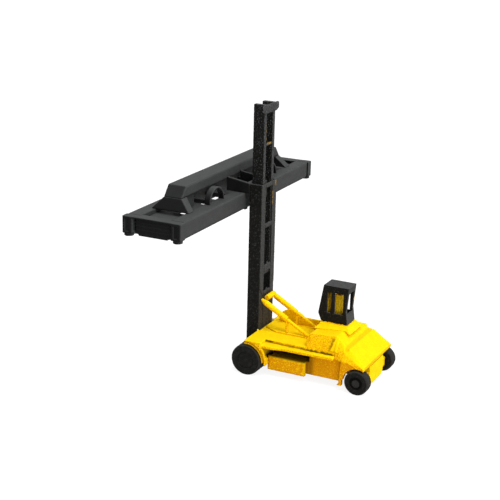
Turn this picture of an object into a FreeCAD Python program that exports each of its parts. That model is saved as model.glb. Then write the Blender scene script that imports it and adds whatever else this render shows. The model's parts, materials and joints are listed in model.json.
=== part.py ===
"""Scale model of an empty container handler, 1:160, printed in nylon.

Millimetres, +Z up, +X forward, +Y to the driver's left.  Every station along X
is measured forward from the front axle; the finished pieces are then moved so
that the origin lies on the ground under the middle of the whole model.
"""
import FreeCAD, Part
import math
import os

from FreeCAD import Vector as V

# ---------------------------------------------------------------- clearances
SLIDE_GAP = 0.10          # between a sliding mast and what guides it
SIDE_GAP = 0.20           # beside a sliding mast
AXLE_GAP = 0.05           # radial, stub axle in its wheel
WHEEL_SIDE_GAP = 0.25     # between a turning wheel and the axle beam

# -------------------------------------------------------------------- wheels
WHEELBASE = 30.2
REAR_AXLE_X = -WHEELBASE
FRAME_END_GAP = 3.60       # frame ends this far before the rear axle
LEG_GAP = 4.90             # rear legs begin this far before the rear axle
FRONT_TYRE_R = 4.17
FRONT_TYRE_W = 3.10
FRONT_TYRE_SPACE = 0.55   # between the two tyres of a pair
FRONT_OUTER_Y = 12.40     # outer face of the outer front tyre
REAR_TYRE_R = 3.25
REAR_TYRE_W = 2.80
REAR_OUTER_Y = 10.40
TYRE_SHOULDER = 0.45      # rounding of a tyre's edges
FRONT_RIM_R = 2.30
REAR_RIM_R = 1.75
RIM_RECESS = 0.18
REAR_CAP_R = 1.10
REAR_CAP_OUT = 0.15
STUB_R = 0.90
STUB_END_COVER = 0.60     # wheel material left outside the stub's end

# --------------------------------------------------------------------- axles
AXLE_BEAM_LEN = 2.50
AXLE_BEAM_H = 2.70
AXLE_BEAM_HALF_Y = 5.10

# ------------------------------------------------------------- chassis frame
FRAME_HALF_Y = 4.80
FRAME_FRONT = -2.40
FRAME_REAR = REAR_AXLE_X + FRAME_END_GAP
FRAME_BOTTOM = 2.80
SIDE_WALL_Y = 8.90
SIDE_WALL_FRONT = -5.90
SIDE_WALL_BOTTOM = 2.30

# ---------------------------------------------------------------------- deck
DECK_FRONT = 0.50         # front edge beside the mast
MAST_NOTCH_HALF_Y = 4.50  # the edge steps back behind the mast
DECK_TOP = 9.75
WALK_TOP = 8.95
WALK_THICK = 0.80
DECK_HALF_Y = 9.05
FENDER_HALF_Y = 12.35
FENDER_REAR = -4.20
WALK_EDGE = [(-4.20, 11.70), (-7.10, 11.60), (-9.80, 10.85), (-18.50, 10.65)]
WALK_REAR_HALF_Y = 10.50
GROOVE_W = 0.40           # groove along the foot of the higher floor
GROOVE_DEPTH = 0.35
PANEL_RISE = 0.40         # raised middle panel
PANEL_FRONT = -0.50
PANEL_HALF_Y = 3.50
PANEL_CUT = [(1.30, 0.0), (2.80, 2.40), (3.50, 3.70)]   # left front corner: y, back from front
NUB_H = 0.45
NUB_SIZE = 0.40
BOX_INNER_Y = 4.80        # right-hand box, inner face
BOX_TOP = 12.20
BOX_FRONT = -1.40
BOX_SHOULDER = (-1.90, 11.90)
BOX_PEAK = (-4.75, 13.60)
BOX_PEAK_FOOT = -7.40
BOX_FALL = 1.80           # the top falls outwards by this much
BOX_REAR = REAR_AXLE_X + LEG_GAP
BOX_REAR_TOP = 12.10

# ------------------------------------------------------------------- fenders
FENDER_SIDE_T = 0.60
GUARD_R = 4.45            # inside of the mudguard over the tyres
GUARD_T = 0.55
GUARD_LIP_T = 0.30        # thin outer stretch of the guard
GUARD_LIP_IN = 11.00
GUARD_LIP_OUT = 12.10
GUARD_ROOM = 0.05         # between the curved guard and the plate above it
GUARD_LIP_ROOM = 0.15      # more room over the thin outer lip
GUARD_END_Z = 4.00        # height where the curve ends
GUARD_FRONT = 0.70
FLAP_IN = 10.30           # inner face of the flap
FLAP = [(-5.70, 3.70), (-5.45, 3.40), (-4.90, 4.45)]    # lower end of the flap
FLAP_BACK = [(-4.60, 8.10), (-5.25, 6.90), (-5.65, 5.20)]   # its rear edge, downwards
FLAP_TOP = 6.00           # the thick part of the flap ends here

# ---------------------------------------------------------------------- hood
HOOD_END_GAP = 6.50        # hood ends this far before the rear axle
HOOD_LEN = 8.30
HOOD_BROW_LEN = 1.00       # chamfer at the front
HOOD_REAR = REAR_AXLE_X + HOOD_END_GAP
HOOD_FRONT = HOOD_REAR + HOOD_LEN
HOOD_BROW = HOOD_FRONT - HOOD_BROW_LEN
HOOD_NOSE_TOP = 12.50
HOOD_TOP_FRONT = 13.40
HOOD_TOP_REAR = 13.90
HOOD_TOP_Y = 7.80
HOOD_BASE_Y = 8.90
HOOD_RIGHT_Y = 4.40       # right top edge, beside the long box

# ------------------------------------------------------------- counterweight
CW_OVERHANG = 1.80         # beyond the rear axle
CW_FOLD_GAP = 4.00
CW_BREAK_GAP = 2.80
CW_REAR = REAR_AXLE_X - CW_OVERHANG
CW_REAR_BOTTOM = 5.90
CW_HALF_Y = 10.10
CW_FOLD = REAR_AXLE_X + CW_FOLD_GAP      # foot of the steep part
CW_BREAK = REAR_AXLE_X + CW_BREAK_GAP    # start of the long slope
CW_TOP = [(7.60, HOOD_TOP_REAR), (8.20, 11.80), (8.45, 11.40), (9.35, 7.60)]
CW_RIGHT_TOP = [(5.20, HOOD_TOP_REAR), (7.80, 11.70), (8.30, 11.35), (9.35, 7.60)]
CW_SIDE = [(9.00, 10.60), (9.15, 10.70), (9.50, 9.60), (10.10, 7.20)]
CW_FRONT_HALF_Y = 9.30
REAR_ARCH_R = 3.70
LEG_FRONT = REAR_AXLE_X + LEG_GAP
LEG_W = 0.85
LEG_REAR = LEG_FRONT - LEG_W
LEG_LEAN = 0.40            # its front edge stands further back at the top
LEG_BOTTOM = 1.60
LEG_FOOT = 0.50
LEG_FOOT_H = 0.60

# ------------------------------------------------------------------ rear box
REAR_BOX_HALF_Y = 4.70
REAR_BOX_IN = 0.10
REAR_BOX_REAR = CW_REAR + REAR_BOX_IN
REAR_BOX_BOTTOM = 0.90
REAR_BOX_CHAMFER = 1.00

# --------------------------------------------------------------------- tanks
TANK_FRONT = -5.25
TANK_REAR = -15.90
TANK_OUTER_Y = 10.15
TANK_BOTTOM = 1.80
TANK_TOP = 5.80
TANK_ROUND = 0.50
OPENING_OVER = 0.70        # opening in the side wall, beyond the tank's rear end
OPENING_INNER_Y = 6.10     # its back

# ----------------------------------------------------------------------- cab
CAB_HALF_Y = 2.60
CAB_FLOOR = 14.90
CAB_TOP = 25.10
CAB_WALL = 0.45
CAB_ROOF_T = 0.70
CAB_SILL_T = 0.60
CAB_OVERHANG = 0.50        # beyond the hood's rear edge
CAB_NOSE_LEN = 8.30
CAB_FOOT_LEN = 7.25
CAB_ROOF_LEN = 7.00
CAB_WAIST_IN = 0.55
CAB_NOSE_Z = 17.30
CAB_WAIST_Z = 18.90
PEDESTAL_LEN = 7.90
PEDESTAL_OVER = 0.40       # beyond the cab's rear wall
CAB_REAR = HOOD_REAR - CAB_OVERHANG
CAB_NOSE = (CAB_REAR + CAB_NOSE_LEN, CAB_NOSE_Z)
CAB_FOOT_FRONT = CAB_REAR + CAB_FOOT_LEN
CAB_ROOF_FRONT = CAB_REAR + CAB_ROOF_LEN
CAB_WAIST = (CAB_REAR + CAB_WAIST_IN, CAB_WAIST_Z)
PEDESTAL_REAR = CAB_REAR - PEDESTAL_OVER
PEDESTAL_FRONT = PEDESTAL_REAR + PEDESTAL_LEN
PEDESTAL_HALF_Y = 3.10
WINDOW_TOP = 23.30
WINDOW_SILL = 17.70
WINDOW_STATIONS = (5.80, 4.80, 3.75, 1.45)    # window edges from the rear wall
FRONT_WINDOW = (CAB_REAR + WINDOW_STATIONS[0], CAB_REAR + WINDOW_STATIONS[1])
REAR_WINDOW = (CAB_REAR + WINDOW_STATIONS[2], CAB_REAR + WINDOW_STATIONS[3])
END_WINDOW_HALF_Y = 1.70
SEAT_GAP = 2.60            # behind the seat
SEAT_LEN = 2.40
SEAT_REAR = CAB_REAR + SEAT_GAP
SEAT_FRONT = SEAT_REAR + SEAT_LEN
SEAT_HALF_Y = 1.30
SEAT_H = 1.40
SEAT_BACK_T = 1.80
SEAT_BACK_H = 7.00
CONSOLE_GAP = 1.30         # between seat and console
CONSOLE_X = SEAT_FRONT + CONSOLE_GAP
CONSOLE_T = 0.70
CONSOLE_HALF_Y = 1.50
CONSOLE_H = 5.20

# ---------------------------------------------------------------------- mast
OUTER_REAR = 0.20
OUTER_FRONT = 3.85
OUTER_HALF_Y = 4.30
OUTER_WALL = 0.55
OUTER_FLANGE_T = 0.30
OUTER_FLANGE_IN = 1.95    # the rear flange reaches in to this half width
OUTER_LIP_T = 0.30
OUTER_FOOT = 2.80
OUTER_TOP = 49.40
OUTER_BARS = [(48.10, 49.40), (37.30, 38.60), (25.20, 27.25), (18.90, 20.00)]
RECESS_DEPTH = 0.12       # step in the rear face near the foot of the mast
RECESS_EDGE = [(2.60, 18.90), (4.00, 21.10)]    # its slanted edge
LUMP_HALF_Y = 0.40        # tab that stands on a bar
LUMP_H = 0.50
INNER_HALF_Y = 3.10
INNER_FOOT = 24.40
INNER_TOP = 69.95
INNER_WEB = 1.30
INNER_BAR = (59.10, 59.80)
INNER_BAR_T = 0.50
INNER_FOOT_BAR_H = 1.60
CROSSHEAD_BOTTOM = 67.65
CROSSHEAD_OVER = 1.60     # beyond the inner mast on each side
CROSSHEAD_BACK = 0.30     # behind the inner mast
CROSSHEAD_FOOT = (1.40, 0.55)     # cut at the lower corners, along Y and Z
CROSSHEAD_TIP = (0.40, 0.50)      # cut at the upper corners

# ------------------------------------------------------------ tilt cylinders
TILT_Y = 3.05
TILT_TIP_Z = 18.10
TILT_FOOT_GAP = 0.80       # before the hood
TILT_FOOT = HOOD_FRONT + TILT_FOOT_GAP   # where the rod's centre line meets the deck
TILT_TIP_R = 0.35
TILT_BARREL_R = 0.76
TILT_BARREL_FRONT = 1.60  # along the cylinder from its tip
TILT_BARREL_END = 8.70
TILT_ROD_R = 0.45
TILT_ROD_OVER = 1.50      # the rod is cut off level with the deck
BOSS_R = 0.75             # cross boss behind the mast
BOSS_Z = 18.10
BOSS_LEFT = 1.40
STRUT_X = -7.40
STRUT_W = 0.60

# ------------------------------------------------------------------ spreader
SPREADER_X = 13.10        # centre line, forward of the front axle
SPREADER_HALF_LEN = 38.10
SPREADER_HALF_W = 8.10
RAIL_IN = 4.20
RAIL_OUT = 7.80
RAIL_TOP = 46.70
RAIL_BOTTOM = 42.40
POST_IN = 5.30
POST_LEN = 2.40
POST_ROUND = 0.45
POST_RIB = 0.75           # rib beside the groove in a post
POST_GROOVE = 0.25
POST_BORDER = 0.50        # above and below the groove
POST_FLARE = 0.70         # widening at the foot of a post
END_RECESS = 0.90
END_PANEL_HALF_X = 4.85
END_PANEL_BOTTOM = 41.95
END_PANEL_RIB = 0.15
END_LIP_HALF_X = 4.00      # the part of the panel that hangs under the rails
END_FLANGE_IN = 0.70      # the flange reaches in between the rails
END_FLANGE_OUT = 0.15     # and stops this far from the end
END_FLANGE_T = 0.35
END_PLATE_LEN = 12.00
END_PLATE_INNER = SPREADER_HALF_LEN - END_PLATE_LEN
END_PLATE_TOP = 45.60
END_PLATE_T = 0.60
LOCK_R = 1.20
LOCK_BOTTOM = 41.70
LOCK_Y = SPREADER_HALF_LEN - LOCK_R
LOCK_X = 6.75

BEAM_HALF_W = 2.52
BEAM_TOP = 52.50
BEAM_BOTTOM = 49.75
SADDLE_END_GAP = 9.05      # from the spreader's end
SADDLE_LEAN = 1.25
BEAM_END_SLOPE = 2.20
SADDLE_Y_FOOT = SPREADER_HALF_LEN - SADDLE_END_GAP
SADDLE_Y_TOP = SADDLE_Y_FOOT - SADDLE_LEAN
BEAM_HALF_LEN_BOTTOM = SADDLE_Y_TOP
BEAM_HALF_LEN_TOP = BEAM_HALF_LEN_BOTTOM - BEAM_END_SLOPE
SADDLE_T = 2.60
SADDLE_HALF_TOP = 2.50
SADDLE_HALF_FOOT = 5.30
BEAM_BOX_GAP = 2.90        # before the saddle
BEAM_BOX_LEN = 5.50
BEAM_BOX_Y = (SADDLE_Y_TOP - BEAM_BOX_GAP - BEAM_BOX_LEN, SADDLE_Y_TOP - BEAM_BOX_GAP)
BEAM_BOX_BOTTOM = 45.60
BEAM_BOX_HALF_W = 1.40
BEAM_BOX_ROUND = 1.50
ARCH_Y = 15.50            # half-round bracket on the inner edge of a rail
ARCH_R = 3.90
ARCH_T = 0.50
ARCH_W = 1.60
CROSS_SPAN_IN = (9.30, 11.30)    # inner cross member, from and to
CROSS_SPAN_OUT = (4.40, 1.90)    # outer one, before and after the box under the beam's edge
CROSS_SPANS = [CROSS_SPAN_IN, (BEAM_BOX_Y[0] - CROSS_SPAN_OUT[0], BEAM_BOX_Y[0] + CROSS_SPAN_OUT[1])]
CROSS_MIDDLE = 3.50        # half width of the middle one
CROSS_TOP = 45.40
CROSS_H = 1.20
RAIL_NUB_Y = 2.10
RAIL_NUB = (0.80, 1.20, 0.50)

# ------------------------------------------------------------------ carriage
ARM_OUT = 4.20
ARM_NOSE_TOP = 50.40
ARM_T = 0.80
ARM_BOTTOM = 46.70
ARM_TOP = 49.40
PLATE_T = 1.20
SHOE_REAR = 1.60
SHOE_BOTTOM = 45.20

ORIGIN_SHIFT = ((WHEELBASE + REAR_TYRE_R) - (SPREADER_X + SPREADER_HALF_W)) / 2


# ------------------------------------------------------------- shape helpers
def box(x0, x1, y0, y1, z0, z1):
    """Block between two corners."""
    return Part.makeBox(x1 - x0, y1 - y0, z1 - z0, V(x0, y0, z0))


def prism(points, step):
    """Closed outline of points, carried along the vector step."""
    face = Part.Face(Part.makePolygon(points + points[:1]))
    return face.extrude(step)


def side_prism(profile, y0, y1):
    """Outline of (x, z) pairs, solid from y0 to y1."""
    return prism([V(x, y0, z) for x, z in profile], V(0, y1 - y0, 0))


def plan_prism(outline, z0, z1):
    """Outline of (x, y) pairs, solid from z0 to z1."""
    return prism([V(x, y, z0) for x, y in outline], V(0, 0, z1 - z0))


def front_prism(outline, x0, x1):
    """Outline of (y, z) pairs, solid from x0 to x1."""
    return prism([V(x0, y, z) for y, z in outline], V(x1 - x0, 0, 0))


def rod(start, end, radius):
    """Round bar between two points."""
    return Part.makeCylinder(radius, (end - start).Length, start, end - start)


def rod_y(x, z, y0, y1, radius):
    """Round bar along Y."""
    return Part.makeCylinder(radius, y1 - y0, V(x, y0, z), V(0, 1, 0))


def fused(shapes):
    """One shape from several that touch or overlap, without seams."""
    return shapes[0].fuse(shapes[1:]).removeSplitter()


def mirrored(shape):
    """The same piece on the right-hand side."""
    return shape.mirror(V(0, 0, 0), V(0, 1, 0))


def mirrored_x(shape, x):
    """The same piece on the other side of the plane at x."""
    return shape.mirror(V(x, 0, 0), V(1, 0, 0))


# -------------------------------------------------------------------- wheels
def tyre(x, z, y_in, y_out, radius, bore):
    """Plain tyre with rounded shoulders, turned about its axle."""
    ring = rod_y(x, z, y_in, y_out, radius)
    edges = [e for e in ring.Edges if abs(e.Length - 2 * math.pi * radius) < 0.01]
    ring = ring.makeFillet(TYRE_SHOULDER, edges)
    return ring.cut(rod_y(x, z, y_in - 1, y_out + 1, bore))


def front_wheel():
    """Two tyres of a left front pair and the hub that carries both."""
    z = FRONT_TYRE_R
    outer_in = FRONT_OUTER_Y - FRONT_TYRE_W
    inner_out = outer_in - FRONT_TYRE_SPACE
    inner_in = inner_out - FRONT_TYRE_W
    outer = tyre(0, z, outer_in, FRONT_OUTER_Y, FRONT_TYRE_R, FRONT_RIM_R)
    inner = tyre(0, z, inner_in, inner_out, FRONT_TYRE_R, FRONT_RIM_R)
    hub = rod_y(0, z, inner_in, FRONT_OUTER_Y - RIM_RECESS, FRONT_RIM_R)
    stub_end = FRONT_OUTER_Y - RIM_RECESS - STUB_END_COVER
    hub = hub.cut(rod_y(0, z, inner_in - 1, stub_end, STUB_R + AXLE_GAP))
    return outer, inner, hub


def rear_wheel():
    """Left rear tyre and its hub with the raised centre."""
    z = REAR_TYRE_R
    y_in = REAR_OUTER_Y - REAR_TYRE_W
    ring = tyre(-WHEELBASE, z, y_in, REAR_OUTER_Y, REAR_TYRE_R, REAR_RIM_R)
    hub_out = REAR_OUTER_Y - RIM_RECESS
    hub = rod_y(-WHEELBASE, z, y_in, hub_out, REAR_RIM_R)
    cap = rod_y(-WHEELBASE, z, hub_out, REAR_OUTER_Y + REAR_CAP_OUT, REAR_CAP_R)
    hub = fused([hub, cap])
    hub = hub.cut(rod_y(-WHEELBASE, z, y_in - 1, hub_out - STUB_END_COVER, STUB_R + AXLE_GAP))
    return ring, hub


# --------------------------------------------------------------------- axles
def axle(x, z, beam_front, half_y, stub_in, stub_out):
    """Axle beam with a stub on each end."""
    beam = box(beam_front - AXLE_BEAM_LEN, beam_front, -half_y, half_y,
               z - AXLE_BEAM_H / 2, z + AXLE_BEAM_H / 2)
    stub = rod_y(x, z, stub_in, stub_out, STUB_R)
    return fused([beam, stub, mirrored(stub)])


def front_axle():
    inner_face = FRONT_OUTER_Y - 2 * FRONT_TYRE_W - FRONT_TYRE_SPACE
    half_y = min(AXLE_BEAM_HALF_Y, inner_face - WHEEL_SIDE_GAP)
    stub_out = FRONT_OUTER_Y - RIM_RECESS - STUB_END_COVER - WHEEL_SIDE_GAP
    return axle(0, FRONT_TYRE_R, OUTER_REAR - SLIDE_GAP, half_y,
                OUTER_HALF_Y + SIDE_GAP, stub_out)


def rear_axle():
    half_y = REAR_OUTER_Y - REAR_TYRE_W - WHEEL_SIDE_GAP
    stub_out = REAR_OUTER_Y - RIM_RECESS - STUB_END_COVER - WHEEL_SIDE_GAP
    bar = axle(-WHEELBASE, REAR_TYRE_R, -WHEELBASE + AXLE_BEAM_LEN / 2, half_y,
               half_y - 0.1, stub_out)
    return bar.cut(rear_box())


# ------------------------------------------------------------ chassis pieces
def chassis_frame():
    return box(FRAME_REAR, FRAME_FRONT, -FRAME_HALF_Y, FRAME_HALF_Y,
               FRAME_BOTTOM, WALK_TOP - WALK_THICK)


def side_wall():
    """Side of the hull, left, with a deep opening over the tank."""
    top = WALK_TOP - WALK_THICK
    wall = box(LEG_FRONT, SIDE_WALL_FRONT, FRAME_HALF_Y, SIDE_WALL_Y, SIDE_WALL_BOTTOM, top)
    return wall.cut(box(TANK_REAR - OPENING_OVER, SIDE_WALL_FRONT + 1, OPENING_INNER_Y,
                        SIDE_WALL_Y + 1, TANK_TOP, top + 1))


def both_sides(half):
    """Closed plan outline from its left half, given from front to back."""
    return half + [(x, -y) for x, y in reversed(half)]


def tyres_inner_y():
    """Inner face of the inner front tyre."""
    return FRONT_OUTER_Y - 2 * FRONT_TYRE_W - FRONT_TYRE_SPACE


def arch_cut(radius, y0, y1):
    """Round space about the front axle, from its own height up."""
    disc = rod_y(0, FRONT_TYRE_R, y0, y1, radius)
    return disc.common(box(-2 * radius, 2 * radius, y0, y1, GUARD_END_Z, 4 * radius))


def arch_room():
    """Radius of the space that the plates above leave for the curved guard."""
    return GUARD_R + GUARD_T + GUARD_ROOM


def deck():
    """Floor plate: walkway all round, the higher middle and the tops of the fenders."""
    mast_edge = OUTER_REAR - SIDE_GAP
    front = [(mast_edge, MAST_NOTCH_HALF_Y), (DECK_FRONT, MAST_NOTCH_HALF_Y),
             (DECK_FRONT, FENDER_HALF_Y), (FENDER_REAR, FENDER_HALF_Y)]
    walk = front + WALK_EDGE + [(HOOD_REAR, WALK_REAR_HALF_Y)]
    upper = front + [(FENDER_REAR, DECK_HALF_Y), (HOOD_FRONT, DECK_HALF_Y)]
    floor = fused([plan_prism(both_sides(walk), WALK_TOP - WALK_THICK, WALK_TOP),
                   plan_prism(both_sides(upper), WALK_TOP, DECK_TOP), nub(), mirrored(nub())])
    groove = box(HOOD_REAR, FENDER_REAR, DECK_HALF_Y, DECK_HALF_Y + GROOVE_W,
                 WALK_TOP - GROOVE_DEPTH, WALK_TOP)
    arch = arch_cut(arch_room(), tyres_inner_y(), FENDER_HALF_Y + 1)
    lip_room = arch_cut(arch_room() + GUARD_LIP_ROOM, GUARD_LIP_IN, FENDER_HALF_Y + 1)
    arch = arch.fuse(lip_room)
    return floor.cut([groove, mirrored(groove), arch, mirrored(arch)])


def nub():
    """Small block on the deck's front edge, left of the mast."""
    return box(DECK_FRONT - NUB_SIZE, DECK_FRONT, MAST_NOTCH_HALF_Y,
               MAST_NOTCH_HALF_Y + NUB_SIZE, DECK_TOP, DECK_TOP + NUB_H)


def fender_side():
    """Side of the left front fender: the arch in front, a leaning flap behind it."""
    y0, y1 = FENDER_HALF_Y - FENDER_SIDE_T, FENDER_HALF_Y
    top = WALK_TOP - WALK_THICK
    outline = [(0, top), (FENDER_REAR, top)] + FLAP_BACK + FLAP + [(0, FLAP[-1][1])]
    plate = side_prism(outline, y0, y1)
    return plate.cut(rod_y(0, FRONT_TYRE_R, y0 - 1, y1 + 1, arch_room() + GUARD_LIP_ROOM))


def mudguard():
    """Curved guard over the left front tyres, with its thin outer lip and the thick flap."""
    y0, y1 = tyres_inner_y(), FENDER_HALF_Y - FENDER_SIDE_T
    outer = GUARD_R + GUARD_T
    guard = arch_cut(outer, y0, GUARD_LIP_IN)
    lip = arch_cut(GUARD_R + GUARD_LIP_T, GUARD_LIP_IN, GUARD_LIP_OUT)
    ring = guard.fuse(lip).cut(rod_y(0, FRONT_TYRE_R, y0 - 1, y1 + 1, GUARD_R))
    ring = ring.common(box(-2 * outer, GUARD_FRONT, y0, y1 + 1, 0, 4 * outer))
    flap = side_prism([(-outer + GUARD_T, FLAP_TOP), FLAP_BACK[-1]] + FLAP, FLAP_IN, y1)
    return fused([ring, flap.cut(rod_y(0, FRONT_TYRE_R, y0, y1 + 1, GUARD_R))])


def centre_panel():
    """Raised middle of the deck, its left front corner cut."""
    left = [(PANEL_FRONT - back, y) for y, back in PANEL_CUT]
    outline = [(PANEL_FRONT, -PANEL_HALF_Y)] + left
    outline += [(HOOD_FRONT, PANEL_HALF_Y), (HOOD_FRONT, -PANEL_HALF_Y)]
    return plan_prism(outline, DECK_TOP, DECK_TOP + PANEL_RISE)


def box_profile(y, lower):
    """Outline of the long box at one station across, its top lowered."""
    shoulder = V(BOX_SHOULDER[0], y, BOX_SHOULDER[1] - lower)
    peak = V(BOX_PEAK[0], y, BOX_PEAK[1] - lower)
    foot = V(BOX_PEAK_FOOT, y, BOX_TOP - lower)
    ends = [foot, V(HOOD_FRONT, y, BOX_TOP - lower), V(HOOD_FRONT, y, DECK_TOP),
            V(BOX_FRONT, y, DECK_TOP), shoulder]
    edges = [Part.Arc(shoulder, peak, foot).toShape()]
    edges += [Part.LineSegment(a, b).toShape() for a, b in zip(ends[:-1], ends[1:])]
    return Part.Wire(edges)


def side_box():
    """Long box on the right of the deck: hump in front, flat block beside the hood."""
    front = Part.makeLoft([box_profile(-BOX_INNER_Y, 0), box_profile(-DECK_HALF_Y, BOX_FALL)],
                          True, True)
    beside = box(HOOD_REAR, HOOD_FRONT, -DECK_HALF_Y, -BOX_INNER_Y, WALK_TOP, BOX_REAR_TOP)
    tail = box(BOX_REAR, HOOD_REAR, -DECK_HALF_Y, -HOOD_TOP_Y, CW_SIDE[0][1], BOX_REAR_TOP)
    return fused([front, beside, tail])


def hood():
    """Engine hood: chamfered front edge, leaning left side, top rising to the back."""
    sections = []
    for x, top in ((HOOD_FRONT, HOOD_NOSE_TOP), (HOOD_BROW, HOOD_TOP_FRONT),
                   (HOOD_REAR, HOOD_TOP_REAR)):
        ring = [V(x, -BOX_INNER_Y, WALK_TOP), V(x, -HOOD_RIGHT_Y, top),
                V(x, HOOD_TOP_Y, top), V(x, HOOD_BASE_Y, WALK_TOP)]
        sections.append(Part.makePolygon(ring + ring[:1]))
    return Part.makeLoft(sections, True, True)


def counterweight():
    """Sloping tail: steep behind the hood, a short step, then the long slope."""
    under = WALK_TOP - WALK_THICK
    low = [(CW_FRONT_HALF_Y, under), (CW_HALF_Y, under), (CW_HALF_Y, under),
           (CW_HALF_Y, CW_REAR_BOTTOM)]
    sections = []
    stations = (HOOD_REAR, CW_FOLD, CW_BREAK, CW_REAR)
    for x, top, right, side, foot in zip(stations, CW_TOP, CW_RIGHT_TOP, CW_SIDE, low):
        ring = [V(x, y, z) for y, z in (top, side, foot)]
        ring += [V(x, -y, z) for y, z in (foot, side, right)]
        sections.append(Part.makePolygon(ring + ring[:1]))
    solid = Part.makeLoft(sections, True, True)
    arch = rod_y(-WHEELBASE, REAR_TYRE_R, -CW_HALF_Y - 1, CW_HALF_Y + 1, REAR_ARCH_R)
    return solid.cut(arch)


def rear_guard():
    """Left side plate behind the hull: arch over the wheel and leg with its foot."""
    top = WALK_TOP - WALK_THICK
    profile = [(LEG_FRONT - LEG_LEAN, top), (LEG_FRONT, LEG_BOTTOM + LEG_FOOT_H),
               (LEG_FRONT + LEG_FOOT, LEG_BOTTOM), (LEG_REAR, LEG_BOTTOM),
               (LEG_REAR, REAR_TYRE_R), (CW_REAR, CW_REAR_BOTTOM), (CW_BREAK, top)]
    plate = side_prism(profile, SIDE_WALL_Y, CW_HALF_Y)
    arch = rod_y(-WHEELBASE, REAR_TYRE_R, 0, CW_HALF_Y + 1, REAR_ARCH_R)
    return plate.cut(arch)


def rear_box():
    """Pale box between the rear wheels, up to the underside of the tail."""
    c = REAR_BOX_CHAMFER
    under = WALK_TOP - WALK_THICK
    y, z0 = REAR_BOX_HALF_Y, REAR_BOX_BOTTOM
    outline = [(-y, under), (-y, z0 + c), (-y + c, z0), (y - c, z0), (y, z0 + c), (y, under)]
    body = front_prism(outline, REAR_BOX_REAR, FRAME_REAR)
    fall = (under - CW_REAR_BOTTOM) / (CW_BREAK - CW_REAR)
    rear_top = CW_REAR_BOTTOM + fall * (REAR_BOX_REAR - CW_REAR)
    room = [(REAR_BOX_REAR, z0), (REAR_BOX_REAR, rear_top), (CW_BREAK, under),
            (FRAME_REAR, under), (FRAME_REAR, z0)]
    return body.common(side_prism(room, -y, y))


def tank():
    """Left tank with rounded outer edges and ends."""
    body = box(TANK_REAR, TANK_FRONT, SIDE_WALL_Y, TANK_OUTER_Y, TANK_BOTTOM, TANK_TOP)
    outer = [e for e in body.Edges
             if all(abs(v.Y - TANK_OUTER_Y) < 1e-6 for v in e.Vertexes)]
    return body.makeFillet(min(TANK_ROUND, (TANK_OUTER_Y - SIDE_WALL_Y) * 0.9), outer)


# ------------------------------------------------------------ tilt cylinders
def tilt_cylinder():
    """Left tilt cylinder from the mast down to the deck, with its strut."""
    deck_z = DECK_TOP + PANEL_RISE
    tip = V(OUTER_REAR, TILT_Y, TILT_TIP_Z)
    foot = V(TILT_FOOT, TILT_Y, DECK_TOP)
    along = foot - tip
    along.normalize()
    nose = Part.makeCone(TILT_TIP_R, TILT_BARREL_R, TILT_BARREL_FRONT, tip, along)
    barrel = rod(tip + along * TILT_BARREL_FRONT, tip + along * TILT_BARREL_END, TILT_BARREL_R)
    stem = rod(tip + along * TILT_BARREL_END, foot + along * TILT_ROD_OVER, TILT_ROD_R)
    drop = (tip.z - DECK_TOP) / (tip.x - TILT_FOOT)
    strut_top = tip.z - drop * (tip.x - STRUT_X)
    strut = box(STRUT_X - STRUT_W / 2, STRUT_X + STRUT_W / 2, TILT_Y - STRUT_W / 2,
                TILT_Y + STRUT_W / 2, deck_z, strut_top)
    whole = fused([nose, barrel, stem, strut])
    room = box(HOOD_FRONT, OUTER_REAR, TILT_Y - 2 * TILT_BARREL_R, TILT_Y + 2 * TILT_BARREL_R,
               deck_z, tip.z + 2 * TILT_BARREL_R)
    return whole.common(room)


def cross_boss():
    """Short thick pin across the back of the mast, carried by the right cylinder."""
    return rod_y(OUTER_REAR - BOSS_R, BOSS_Z, -TILT_Y, BOSS_LEFT, BOSS_R)


# ----------------------------------------------------------------------- cab
def cab_shell():
    """Hollow cab: walls of one thickness, windows cut on all sides."""
    profile = [(CAB_FOOT_FRONT, CAB_FLOOR), CAB_NOSE, (CAB_ROOF_FRONT, CAB_TOP),
               (CAB_REAR, CAB_TOP), CAB_WAIST, (CAB_REAR, CAB_FLOOR)]
    shell = side_prism(profile, -CAB_HALF_Y, CAB_HALF_Y)
    t = CAB_WALL
    inside = [(CAB_FOOT_FRONT - t, CAB_FLOOR + CAB_SILL_T), (CAB_NOSE[0] - t, CAB_NOSE[1]),
              (CAB_ROOF_FRONT - t, CAB_TOP - CAB_ROOF_T), (CAB_WAIST[0] + t, CAB_TOP - CAB_ROOF_T),
              (CAB_WAIST[0] + t, CAB_FLOOR + CAB_SILL_T)]
    shell = shell.cut(side_prism(inside, -CAB_HALF_Y + t, CAB_HALF_Y - t))
    for x1, x0 in (FRONT_WINDOW, REAR_WINDOW):
        shell = shell.cut(box(x0, x1, -CAB_HALF_Y - 1, CAB_HALF_Y + 1, WINDOW_SILL, WINDOW_TOP))
    ends = box(CAB_REAR - 1, CAB_NOSE[0] + 1, -END_WINDOW_HALF_Y, END_WINDOW_HALF_Y,
               WINDOW_SILL, WINDOW_TOP)
    return shell.cut(ends)


def cab_pedestal():
    """Yellow foot of the cab, seated on the sloping hood."""
    block = box(PEDESTAL_REAR, PEDESTAL_FRONT, -PEDESTAL_HALF_Y, PEDESTAL_HALF_Y,
                HOOD_TOP_FRONT, CAB_FLOOR)
    return block.cut(hood()).cut(counterweight())


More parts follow.
